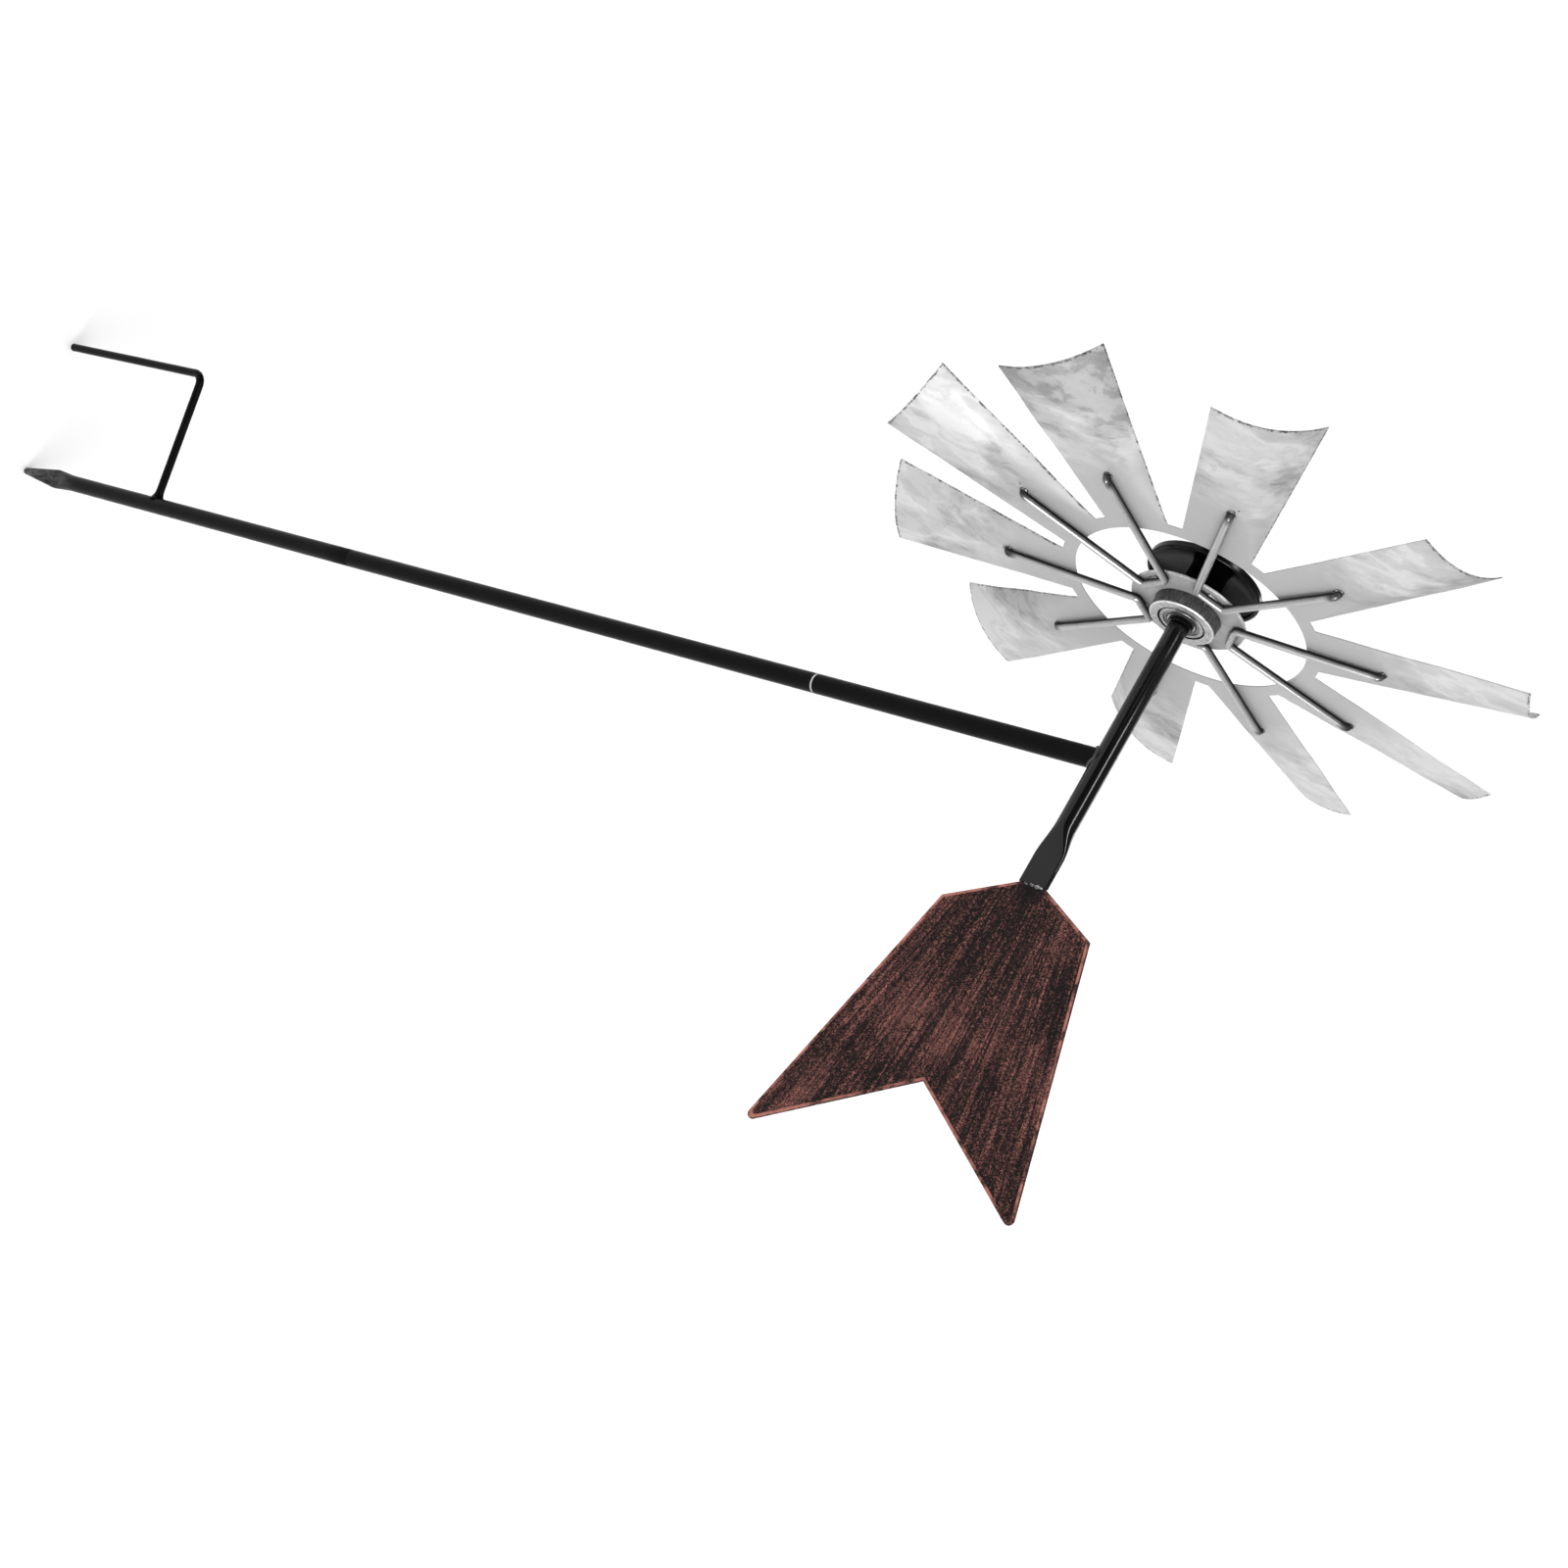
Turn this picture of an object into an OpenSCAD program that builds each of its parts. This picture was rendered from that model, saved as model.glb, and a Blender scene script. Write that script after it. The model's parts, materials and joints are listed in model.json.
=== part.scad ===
// Garden windmill: a wind wheel and a tail vane on a swivelling head, on a pole
// that is pushed into the soil.
// Millimetres. The origin is on the pole's axis at the soil line, +Z is up,
// the wheel faces the wind along -Y and the tail points along +Y.

/* [Pole] */
// Outer diameter of every tube
tube_od = 16; // [14:0.5:19]
// Wall of every tube
tube_wall = 1.5; // [1:0.1:2]
// Height of the wheel's axis above the soil line
hub_height = 1110.5; // [1050:0.5:1300]
// Height of the swivel joint above the soil line
swivel_height = 846; // [600:1:850]
// Height of the plug joint between the two pole sections
plug_height = 299; // [200:1:500]
// Depth of the spike's tip below the soil line
spike_depth = 218; // [180:1:300]

/* [Foot prong] */
// Diameter of the prong's rod
prong_d = 8; // [6:0.5:10]
// Distance from the pole's axis to the prong's leg
prong_reach = 139; // [100:1:180]
// Depth of the leg's end below the soil line
prong_depth = 212.5; // [150:0.5:240]
// Direction of the prong about the pole
prong_turn = -70; // [-180:5:180]
// Radius of the bend, on the rod's centreline
prong_bend = 12; // [8:1:20]

/* [Wind wheel] */
// Number of blades
blade_count = 10; // [10:1:10]
// Angle of the first blade from +X towards +Z
wheel_turn = -6.5; // [-18:0.5:18]
// Inner radius of the flat ring
ring_inner_r = 93; // [85:1:96]
// Outer radius of the flat ring, where the blades begin
ring_outer_r = 104; // [100:1:110]
// Half of a blade's width at the ring
blade_root_half = 26.8; // [20:0.1:28]
// Half of a blade's flat width at its outer end
blade_tip_half = 39.5; // [30:0.5:45]
// Distance from the wheel's axis to a blade's outer edge
blade_reach = 258; // [220:1:280]
// Half angle of the cone that a blade is rolled on
roll_angle = 28; // [22:1:34]
// Thickness of the wheel's sheet
sheet_t = 0.8; // [0.6:0.1:1.2]

/* [Spokes] */
// Diameter of the spoke wire
wire_d = 6; // [4:0.5:6]
// Radius at which a wire turns into its base
spoke_base_r = 39.5; // [36:0.5:42]
// Radius at which a wire meets its blade
spoke_tip_r = 151; // [130:1:155]

/* [Hub] */
// Distance from the pole's axis to the rear face of the bearing
bearing_seat = 126; // [115:1:140]
// Radius of the hub plate
plate_r = 46; // [43:1:50]
// Thickness of the hub plate
plate_t = 2; // [2:0.5:4]
// Outer radius of the bearing housing
housing_r = 26; // [24:0.5:28]
// Radius of the hub cap
cap_r = 45.5; // [42:0.5:52]
// Depth of the hub cap's dome
cap_depth = 16; // [12:1:24]
// Distance from the hub plate to the cap's rim
cap_gap = 24; // [18:1:28]

/* [Bearing] */
// Bore of the ball bearing
bearing_bore = 15; // [15:1:15]
// Outer diameter of the ball bearing
bearing_od = 35; // [35:1:35]
// Width of the ball bearing
bearing_w = 11; // [11:1:11]
// Number of balls
ball_count = 8; // [7:1:8]

/* [Tail] */
// Distance from the pole's axis to the rear end of the head tube
tube_rear = 109; // [100:1:130]
// Width of the head tube's flattened end
flat_w = 24; // [22:0.5:25]
// Distance from the pole's axis to the tail's shoulders
shoulder_y = 137; // [130:1:160]
// Half of the tail's width at its shoulders
shoulder_half = 62; // [40:1:80]
// Distance from the pole's axis to the tail's tips
tail_tip_y = 346; // [300:1:400]
// Half of the tail's width at its tips
tail_tip_half = 114; // [80:1:130]
// Distance from the pole's axis to the bottom of the notch
notch_y = 271; // [230:1:300]
// Width of the tail's pressed border
border_w = 3; // [2:0.5:5]

/* [Hidden] */
$fn = 64;
bore_r = tube_od / 2 - tube_wall;
tube_r = tube_od / 2;
eps = 0.01;

// Axial stations of the hub, measured forwards from the pole's axis
collar_t = 4;
collar_r = tube_r + 2;
tube_front = bearing_seat - collar_t;
plate_rear = bearing_seat + bearing_w;
plate_front = plate_rear + plate_t;
sheet_rear = plate_front;
cap_rim = plate_front + cap_gap;

// Ball bearing
ball_r = 5.953 / 2;
pitch_r = (bearing_bore + bearing_od) / 4;
groove_r = ball_r + 0.05;
inner_shoulder_r = 11.4;
outer_shoulder_r = 14.2;
shield_t = 0.6;
shield_gap = 0.9;
shield_recess = 1;

// Axle
thread_r = 5;
washer_t = 1.5;
nut_flats = 17;
nut_t = 8;
spigot_length = 30;

// Swivel
washer_gap = 0.3;
swivel_washer_t = 1.6;
post_base = swivel_height + swivel_washer_t + washer_gap;
pin_clearance = 0.08;

// Hub neck, the tube that carries the cap
neck_r = 15;
neck_wall = 2;
cap_wall = 1.2;
cap_straight = 3.5;
cap_dome = cap_depth - cap_straight;
cap_sphere = (cap_r * cap_r + cap_dome * cap_dome) / (2 * cap_dome);
neck_front = cap_rim + cap_depth - 3.5;

// One blade, drawn pointing along +X with +Z forwards. A blade is flat on one
// side of the fold line, which runs from the corner of its root to the opposite
// corner of its end, and rolled forwards on a cone on the other side.
blade_step = 360 / blade_count;
root_x = sqrt(pow(ring_outer_r, 2) - pow(blade_root_half, 2));
fold_length = norm([blade_reach - root_x, blade_tip_half + blade_root_half]);
fold_angle = atan2(blade_tip_half + blade_root_half, blade_reach - root_x);
flare_angle = atan2(blade_tip_half - blade_root_half, blade_reach - root_x);
roll_turn = (fold_angle + flare_angle) / sin(roll_angle);
roll_start = sheet_t / tan(roll_angle) + 0.2;
trim_angle = 2;
fold_step = 0.03;
fold_overlap = 1;

wire_r = wire_d / 2;
base_level = sheet_rear - plate_rear + wire_r;
tip_level = wire_r + 0.5;

function unit(v) = v / norm(v);

// Places its children on the wheel's axis, d in front of the pole's axis, with
// their +Z forwards and their +Y up
module on_axle(d) {
    translate([0, -d, hub_height]) rotate([90, 0, 0]) children();
}

module ring(inner_r, outer_r, h) {
    rotate_extrude() translate([inner_r, 0]) square([outer_r - inner_r, h]);
}

// A straight round rod from point a to point b
module rod(a, b, d) {
    v = b - a;
    translate(a) rotate([0, acos(v.z / norm(v)), atan2(v.y, v.x)]) cylinder(h = norm(v), d = d);
}

// A wire with a sharp bend at every inner point of a path
module sharp_wire(path, d) {
    last = len(path) - 1;
    short = 0.5;
    union() {
        for (i = [0 : last - 1]) {
            way = unit(path[i + 1] - path[i]);
            start = i == 0 ? 0 : short;
            stop = i == last - 1 ? 0 : short;
            rod(path[i] + way * start, path[i + 1] - way * stop, d);
        }
        for (i = [1 : last - 1]) {
            translate(path[i]) sphere(d = d + 0.2);
        }
    }
}

// The bend of a rod at corner p, from direction a into direction b
module bend(p, a, b, d, r) {
    angle = acos(a * b);
    inward = unit(b - a * cos(angle));
    centre = p - a * r * tan(angle / 2) + inward * r;
    side = cross(-inward, a);
    multmatrix([
        [-inward.x, a.x, side.x, centre.x],
        [-inward.y, a.y, side.y, centre.y],
        [-inward.z, a.z, side.z, centre.z],
        [0, 0, 0, 1]
    ]) rotate_extrude(angle = angle) translate([r, 0]) circle(d = d);
}

// A rod bent at every inner point of a path, with bends of radius r
module bent_rod(path, d, r) {
    last = len(path) - 1;
    way = [for (i = [0 : last - 1]) unit(path[i + 1] - path[i])];
    cut = [for (i = [0 : last]) i == 0 || i == last ? 0
        : r * tan(acos(way[i - 1] * way[i]) / 2)];
    union() {
        for (i = [0 : last - 1]) {
            rod(path[i] + way[i] * cut[i], path[i + 1] - way[i] * cut[i + 1], d);
        }
        for (i = [1 : last - 1]) {
            bend(path[i], way[i - 1], way[i], d, r);
        }
    }
}

// Pole ---------------------------------------------------------------------

module tube(z0, z1) {
    translate([0, 0, z0]) difference() {
        cylinder(h = z1 - z0, r = tube_r);
        translate([0, 0, -1]) cylinder(h = z1 - z0 + 2, r = bore_r);
    }
}

// The lower section, with its end pressed flat into a pointed spike
module pole_lower() {
    flat_t = 4;
    flat_half = 10;
    press_top = 85;
    press_end = 60;
    bore_end = 100;
    nose_r = 3.5;
    color("#1c1c1d") rotate([0, 0, prong_turn]) difference() {
        union() {
            translate([0, 0, press_top - spike_depth])
                cylinder(h = plug_height + spike_depth - press_top, r = tube_r);
            hull() {
                translate([0, 0, press_top - spike_depth]) cylinder(h = 0.5, r = tube_r, $fn = 32);
                translate([-flat_half, -flat_t / 2, press_end - spike_depth]) cube([2 * flat_half, flat_t, 0.5]);
            }
            hull() {
                translate([-flat_half, -flat_t / 2, press_end - spike_depth]) cube([2 * flat_half, flat_t, 0.5]);
                translate([0, flat_t / 2, nose_r - spike_depth]) rotate([90, 0, 0])
                    cylinder(h = flat_t, r = nose_r, $fn = 32);
            }
        }
        translate([0, 0, bore_end - spike_depth]) cylinder(h = plug_height + spike_depth, r = bore_r);
    }
}

// The plug that joins the two sections
module pole_connector() {
    half = 50;
    color("#9a9b9c") translate([0, 0, plug_height - half]) ring(bore_r - 1.5, bore_r, 2 * half);
}

module pole_middle() {
    color("#1c1c1d") tube(plug_height, swivel_height);
}

prong_axis_z = prong_d / 2;

module foot_prong() {
    path = [
        [tube_r - 2, 0, prong_axis_z],
        [prong_reach, 0, prong_axis_z],
        [prong_reach, 0, -prong_depth]
    ];
    color("#1c1c1d") rotate([0, 0, prong_turn]) difference() {
        bent_rod(path, prong_d, prong_bend);
        translate([0, 0, -10]) cylinder(h = 30, r = tube_r);
    }
}

// A flared bead around the prong where it meets the pole
module prong_weld() {
    flare = 7;
    color("#202021") rotate([0, 0, prong_turn]) difference() {
        translate([tube_r - 3, 0, prong_axis_z]) rotate([0, 90, 0])
            cylinder(h = flare + 3, r1 = prong_d / 2 + 4, r2 = prong_d / 2 + 0.2);
        translate([0, 0, -20]) cylinder(h = 50, r = tube_r);
        translate([0, 0, prong_axis_z]) rotate([0, 90, 0]) cylinder(h = 40, r = prong_d / 2);
    }
}

// Swivel -------------------------------------------------------------------

// Pressed into the pole below the joint, a running fit in the post above it
module swivel_pin() {
    below = 60;
    above = 70;
    color("#8d8e90") union() {
        translate([0, 0, swivel_height - below]) cylinder(h = below, r = bore_r);
        translate([0, 0, swivel_height - eps]) cylinder(h = above, r = bore_r - pin_clearance);
    }
}

module swivel_washer() {
    color("#d8d9da") translate([0, 0, swivel_height])
        ring(bore_r, tube_r - 0.2, swivel_washer_t);
}

// Head ---------------------------------------------------------------------

module head_tube_outside() {
    on_axle(tube_front + 1) rotate([180, 0, 0]) cylinder(h = tube_front + tube_rear + 2, r = tube_r);
}

module head_post() {
    saddle = 6.5;
    color("#161617") difference() {
        tube(post_base, hub_height - saddle);
        head_tube_outside();
    }
}

module post_weld() {
    color("#1a1a1b") difference() {
        translate([0, 0, hub_height - 12]) rotate_extrude() polygon([
            [tube_r, 0], [tube_r + 0.5, 0], [tube_r + 2.4, 5], [tube_r + 2, 7], [tube_r, 7]
        ]);
        head_tube_outside();
    }
}

// The tube is round from the axle to press_start and pressed flat at its rear
module head_tube() {
    press_start = 60;
    press_full = 82;
    blind_end = press_start - 12;
    flat_t = 4.2;
    slot_t = 1.2;
    tongue = 18;
    color("#141415") difference() {
        union() {
            on_axle(tube_front) rotate([180, 0, 0])
                cylinder(h = tube_front + press_start, r = tube_r);
            hull() {
                on_axle(-press_start) rotate([180, 0, 0]) cylinder(h = 0.5, r = tube_r, $fn = 32);
                translate([-flat_t / 2, press_full, hub_height - flat_w / 2]) cube([flat_t, 0.5, flat_w]);
            }
            translate([-flat_t / 2, press_full, hub_height - flat_w / 2])
                cube([flat_t, tube_rear - press_full, flat_w]);
        }
        on_axle(tube_front + 1) rotate([180, 0, 0]) cylinder(h = tube_front + 1 + blind_end, r = bore_r);
        translate([-slot_t / 2, tube_rear - tongue, hub_height - tongue_half])
            cube([slot_t, tongue + 1, 2 * tongue_half]);
    }
}

tongue_half = 10;

// Moves the sides of an anticlockwise outline inwards by d
function inset(p, d) = [for (i = [0 : len(p) - 1])
    let (
        n = len(p),
        u = unit(p[i] - p[(i + n - 1) % n]),
        v = unit(p[(i + 1) % n] - p[i]),
        a = [-u.y, u.x],
        b = [-v.y, v.x]
    ) p[i] + (a + b) * d / (1 + a * b)];

// Rounds corner i of an outline to radius r with a few points
function corner(p, i, r) = let (
        n = len(p),
        u = unit(p[(i + n - 1) % n] - p[i]),
        v = unit(p[(i + 1) % n] - p[i]),
        half = acos(u * v) / 2,
        centre = p[i] + unit(u + v) * r / sin(half),
        from = atan2(-(u + v).y, -(u + v).x),
        turn = 90 - half
    ) [for (s = [-1 : 0.5 : 1]) centre + r * [cos(from + s * turn), sin(from + s * turn)]];

// Half widths along Z and stations along Y, anticlockwise
tail_outline = [
    [tube_rear, -tongue_half], [shoulder_y, -shoulder_half], [tail_tip_y, -tail_tip_half],
    [notch_y, 0],
    [tail_tip_y, tail_tip_half], [shoulder_y, shoulder_half], [tube_rear, tongue_half]
];

module tail_shape(d) {
    p = inset(tail_outline, d);
    tip_r = 4 - d / 2;
    polygon([p[0], p[1], each corner(p, 2, tip_r), p[3], each corner(p, 4, tip_r), p[5], p[6]]);
}

// A thin sheet with a raised border on both faces
module tail_vane() {
    web_t = 1.2;
    border_t = 2.4;
    color("#5b4440") translate([0, 0, hub_height]) rotate([90, 0, 90]) union() {
        translate([0, 0, -web_t / 2]) linear_extrude(web_t) union() {
            tail_shape(0);
            translate([tube_rear - 18, -tongue_half]) square([18 + eps, 2 * tongue_half]);
        }
        translate([0, 0, -border_t / 2]) linear_extrude(border_t) difference() {
            tail_shape(0);
            tail_shape(border_w);
            translate([tube_rear - 1, -tongue_half]) square([border_w + 4, 2 * tongue_half]);
        }
    }
}

// A bead that stands out of both faces, where the tail leaves the head tube
module tail_weld() {
    color("#2a2728") translate([0, tube_rear + 0.3, hub_height + 4]) sphere(r = 2.8, $fn = 32);
}

// Axle and bearing -----------------------------------------------------------

module axle_shaft() {
    thread_length = washer_t + nut_t + 3.5;
    color("#1b1b1c") on_axle(0) union() {
        translate([0, 0, tube_front - spigot_length]) cylinder(h = spigot_length, r = bore_r);
        translate([0, 0, tube_front]) cylinder(h = collar_t, r = collar_r);
        translate([0, 0, bearing_seat]) cylinder(h = bearing_w, r = bearing_bore / 2);
        translate([0, 0, plate_rear]) cylinder(h = thread_length - 1, r = thread_r);
        translate([0, 0, plate_rear + thread_length - 1]) cylinder(h = 1, r1 = thread_r, r2 = thread_r - 1);
    }
}

module axle_washer() {
    color("#b9babc") on_axle(plate_rear) ring(thread_r + 0.1, 10, washer_t);
}

module axle_nut() {
    color("#b9babc") on_axle(plate_rear + washer_t) difference() {
        cylinder(h = nut_t, d = nut_flats / cos(30), $fn = 6);
        translate([0, 0, -1]) cylinder(h = nut_t + 2, r = thread_r);
    }
}

module bearing_inner_race() {
    color("#c4c5c7") on_axle(bearing_seat) rotate_extrude() difference() {
        translate([bearing_bore / 2, 0]) square([inner_shoulder_r - bearing_bore / 2, bearing_w]);
        translate([pitch_r, bearing_w / 2]) circle(r = groove_r);
    }
}

module bearing_outer_race() {
    recess_r = outer_shoulder_r + 0.8;
    color("#c4c5c7") on_axle(bearing_seat) rotate_extrude() difference() {
        translate([outer_shoulder_r, 0]) square([bearing_od / 2 - outer_shoulder_r, bearing_w]);
        translate([pitch_r, bearing_w / 2]) circle(r = groove_r);
        for (z = [-1, bearing_w - shield_recess]) {
            translate([outer_shoulder_r - 1, z]) square([recess_r - outer_shoulder_r + 1, shield_recess + 1]);
        }
    }
}

module at_each_ball() {
    for (k = [0 : ball_count - 1]) {
        rotate([0, 0, k * 360 / ball_count]) translate([pitch_r, 0, bearing_w / 2]) children();
    }
}

module bearing_balls() {
    color("#d5d6d8") on_axle(bearing_seat) at_each_ball() sphere(r = ball_r);
}

module bearing_cage() {
    half_w = 3.8;
    color("#a88b4e") on_axle(bearing_seat) difference() {
        translate([0, 0, bearing_w / 2 - half_w]) ring(pitch_r - 0.8, pitch_r + 0.8, 2 * half_w);
        at_each_ball() translate([-5, 0, 0]) rotate([0, 90, 0]) cylinder(h = 10, r = ball_r + 0.04);
    }
}

module bearing_shield(z) {
    color("#8f9092") on_axle(bearing_seat + z) ring(inner_shoulder_r + shield_gap, outer_shoulder_r + 0.8, shield_t);
}

// Hub ------------------------------------------------------------------------

// The relief is an open groove around the rear of the bearing
module bearing_housing() {
    lip = 0.5;
    chamfer = 0.8;
    relief_r = bearing_od / 2 + 1.4;
    relief_depth = 3;
    color("#8b8c8e") on_axle(bearing_seat - lip) rotate_extrude() polygon([
        [relief_r, 0], [housing_r - chamfer, 0], [housing_r, chamfer],
        [housing_r, bearing_w + lip], [bearing_od / 2, bearing_w + lip],
        [bearing_od / 2, relief_depth], [relief_r, relief_depth]
    ]);
}

module hub_plate() {
    color("#a2a3a4") on_axle(plate_rear) ring(neck_r, plate_r, plate_t);
}

module hub_neck() {
    color("#151516") on_axle(plate_rear) ring(neck_r - neck_wall, neck_r, neck_front - plate_rear);
}

// A spun dome, open to the rear, with a rolled rim and a spigot for the neck
module hub_cap() {
    centre_z = cap_depth - cap_sphere;
    rim_bead_r = 1.5;
    spigot_wall = 1.5;
    spigot_outer = neck_r - neck_wall;
    spigot_z = neck_front - 8 - cap_rim;
    color("#0c0c0d") on_axle(cap_rim) rotate_extrude() union() {
        intersection() {
            difference() {
                translate([0, centre_z]) circle(r = cap_sphere, $fn = 128);
                translate([0, centre_z]) circle(r = cap_sphere - cap_wall, $fn = 128);
            }
            translate([0, cap_straight]) square([cap_r + 5, cap_depth + 5]);
        }
        translate([cap_r - cap_wall, 0.2]) square([cap_wall, cap_straight + 0.1]);
        translate([cap_r - rim_bead_r, 0.2]) circle(r = rim_bead_r, $fn = 32);
        intersection() {
            translate([spigot_outer - spigot_wall, spigot_z]) square([spigot_wall, cap_depth]);
            translate([0, centre_z]) circle(r = cap_sphere - cap_wall / 2, $fn = 128);
        }
    }
}

// The base of each wire is welded to the plate with two short beads
module hub_welds() {
    bead_r = 1.5;
    bead_length = 7;
    base_distance = spoke_base_r * cos(blade_step / 2);
    color("#77787a") on_axle(plate_rear) for (pair = [0 : blade_count / 2 - 1]) {
        rotate([0, 0, pair_angle(pair)]) for (side = [-1, 1]) {
            translate([base_distance + side * (wire_r - 0.1), -bead_length / 2, -0.6]) rotate([-90, 0, 0])
                cylinder(h = bead_length, r = bead_r, $fn = 24);
        }
    }
}

// Wheel ----------------------------------------------------------------------

module at_each_blade() {
    for (k = [0 : blade_count - 1]) {
        rotate([0, 0, wheel_turn + k * blade_step]) children();
    }
}

// The flat part of a blade, on the near side of its fold line
module blade_flat() {
    polygon([
        [root_x - 2.5, -blade_root_half + 2], [root_x - 2.5, blade_root_half - 2],
        [root_x, blade_root_half], [blade_reach, -blade_tip_half], [root_x, -blade_root_half]
    ]);
}

// The rolled part of a blade, a sector of a conical shell
module blade_roll() {
    along = [sin(roll_angle), cos(roll_angle)];
    inwards = [-cos(roll_angle), sin(roll_angle)] * sheet_t;
    slant = fold_length + 12;
    intersection() {
        translate([root_x, blade_root_half, -fold_step]) rotate([0, 90 - roll_angle, -fold_angle])
            rotate([0, 0, -fold_overlap]) rotate_extrude(angle = roll_turn + fold_overlap) polygon([
                along * roll_start, along * slant, along * slant + inwards, along * roll_start + inwards
            ]);
        translate([blade_reach, -blade_tip_half, -5]) rotate([0, 0, trim_angle])
            translate([-blade_reach, -20, 0]) cube([blade_reach, 120, 60]);
    }
}

// The ring and all its blades are one pressed sheet
module wind_wheel() {
    color("#c3c4c5") on_axle(sheet_rear) union() {
        linear_extrude(sheet_t) union() {
            difference() {
                circle(r = ring_outer_r, $fn = 128);
                circle(r = ring_inner_r, $fn = 128);
            }
            at_each_blade() blade_flat();
        }
        at_each_blade() blade_roll();
    }
}

// A wire serves the blades on both sides of this angle
function pair_angle(pair) = wheel_turn + (2 * pair + 1.5 - 2) * blade_step;

function spoke_point(r, side, level) =
    [r * cos(blade_step / 2), side * r * sin(blade_step / 2), -level];

// A wire with two arms, bent at its base and towards the blades at its tips. The arms
// lean a little towards the sheet
module spoke_wire(pair) {
    path = [
        spoke_point(spoke_tip_r, -1, 0),
        spoke_point(spoke_tip_r, -1, tip_level),
        spoke_point(spoke_base_r, -1, base_level),
        spoke_point(spoke_base_r, 1, base_level),
        spoke_point(spoke_tip_r, 1, tip_level),
        spoke_point(spoke_tip_r, 1, 0)
    ];
    color("#8c8d8f") on_axle(sheet_rear) rotate([0, 0, pair_angle(pair)])
        sharp_wire(path, wire_d);
}

// A small fillet around the end of every arm
module spoke_tacks() {
    color("#77787a") on_axle(sheet_rear) at_each_blade() translate([spoke_tip_r, 0, -0.9])
        rotate_extrude() polygon([[wire_r, 0], [wire_r + 1.6, 0.9], [wire_r, 0.9]]);
}

pole_lower();
pole_connector();
pole_middle();
foot_prong();
prong_weld();
swivel_pin();
swivel_washer();
head_post();
post_weld();
head_tube();
tail_vane();
tail_weld();
axle_shaft();
axle_washer();
axle_nut();
bearing_inner_race();
bearing_balls();
bearing_cage();
bearing_outer_race();
bearing_shield(shield_recess - shield_t);  // bearing_shield_rear
bearing_shield(bearing_w - shield_recess);  // bearing_shield_front
bearing_housing();
hub_plate();
hub_neck();
hub_cap();
hub_welds();
wind_wheel();
spoke_wire(0);  // spoke_wire_1
spoke_wire(1);  // spoke_wire_2
spoke_wire(2);  // spoke_wire_3
spoke_wire(3);  // spoke_wire_4
spoke_wire(4);  // spoke_wire_5
spoke_tacks();
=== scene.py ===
"""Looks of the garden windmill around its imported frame. Metres, +Z up, the wheel at -Y, the tail at +Y."""

import json
import math
import random

import bmesh
import bpy
import numpy as np
from mathutils import Matrix, Vector, noise


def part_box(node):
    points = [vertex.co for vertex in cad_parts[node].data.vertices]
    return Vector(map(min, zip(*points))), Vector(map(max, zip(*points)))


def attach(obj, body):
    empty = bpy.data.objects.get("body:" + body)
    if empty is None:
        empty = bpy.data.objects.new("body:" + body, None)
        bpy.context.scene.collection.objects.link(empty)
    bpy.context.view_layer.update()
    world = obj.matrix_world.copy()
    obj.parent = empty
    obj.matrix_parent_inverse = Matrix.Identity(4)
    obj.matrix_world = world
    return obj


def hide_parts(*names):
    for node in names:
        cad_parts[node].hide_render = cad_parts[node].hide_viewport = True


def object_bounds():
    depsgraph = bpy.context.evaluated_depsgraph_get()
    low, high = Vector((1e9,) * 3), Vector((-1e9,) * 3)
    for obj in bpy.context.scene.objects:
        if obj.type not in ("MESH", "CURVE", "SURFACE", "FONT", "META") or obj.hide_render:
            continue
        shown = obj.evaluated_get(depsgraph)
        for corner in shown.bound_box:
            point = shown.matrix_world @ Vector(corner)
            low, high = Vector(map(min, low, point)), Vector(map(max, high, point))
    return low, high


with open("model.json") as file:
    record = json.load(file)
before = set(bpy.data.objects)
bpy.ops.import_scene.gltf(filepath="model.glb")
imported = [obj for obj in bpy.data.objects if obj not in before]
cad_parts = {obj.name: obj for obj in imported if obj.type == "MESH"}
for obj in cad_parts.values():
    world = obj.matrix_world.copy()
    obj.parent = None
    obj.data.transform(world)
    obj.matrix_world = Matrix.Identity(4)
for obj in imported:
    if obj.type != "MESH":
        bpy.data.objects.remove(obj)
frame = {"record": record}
cad_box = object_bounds()

MM = 0.001
JOINTS = {joint["name"]: joint for joint in frame["record"]["behaviour"]["joints"]}
HUB_Z = JOINTS["wheel_spin"]["pos_m"][2]
TUBE_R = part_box("head_post")[1].x
TUBE_WALL = 1.5 * MM
PRONG_TURN = math.radians(-70)

# Stations on the wheel's axis, as distances in front of the pole's axis
PLATE_REAR = -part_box("hub_plate")[1].y
PLATE_FRONT = -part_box("hub_plate")[0].y
SHEET_REAR = -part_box("wind_wheel")[1].y
TUBE_FRONT = -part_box("head_tube")[0].y
TUBE_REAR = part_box("head_tube")[1].y

# The wheel's sheet, the same as in the frame
BLADES = 10
BLADE_STEP = math.radians(36)
WHEEL_TURN = math.radians(-6.5)
RING_INNER = 93 * MM
RING_OUTER = 104 * MM
ROOT_HALF = 26.8 * MM
TIP_HALF = 39.5 * MM
BLADE_REACH = 257.6 * MM
ROLL_ANGLE = math.radians(28)
TRIM_ANGLE = math.radians(2)
SHEET_T = 0.8 * MM

# The spoke wires
WIRE_R = 3 * MM
BASE_BEND = 3.4 * MM
TIP_BEND = 3.05 * MM
BASE_R = 39.5 * MM
TIP_R = 151 * MM


# Meshes ---------------------------------------------------------------------

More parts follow.
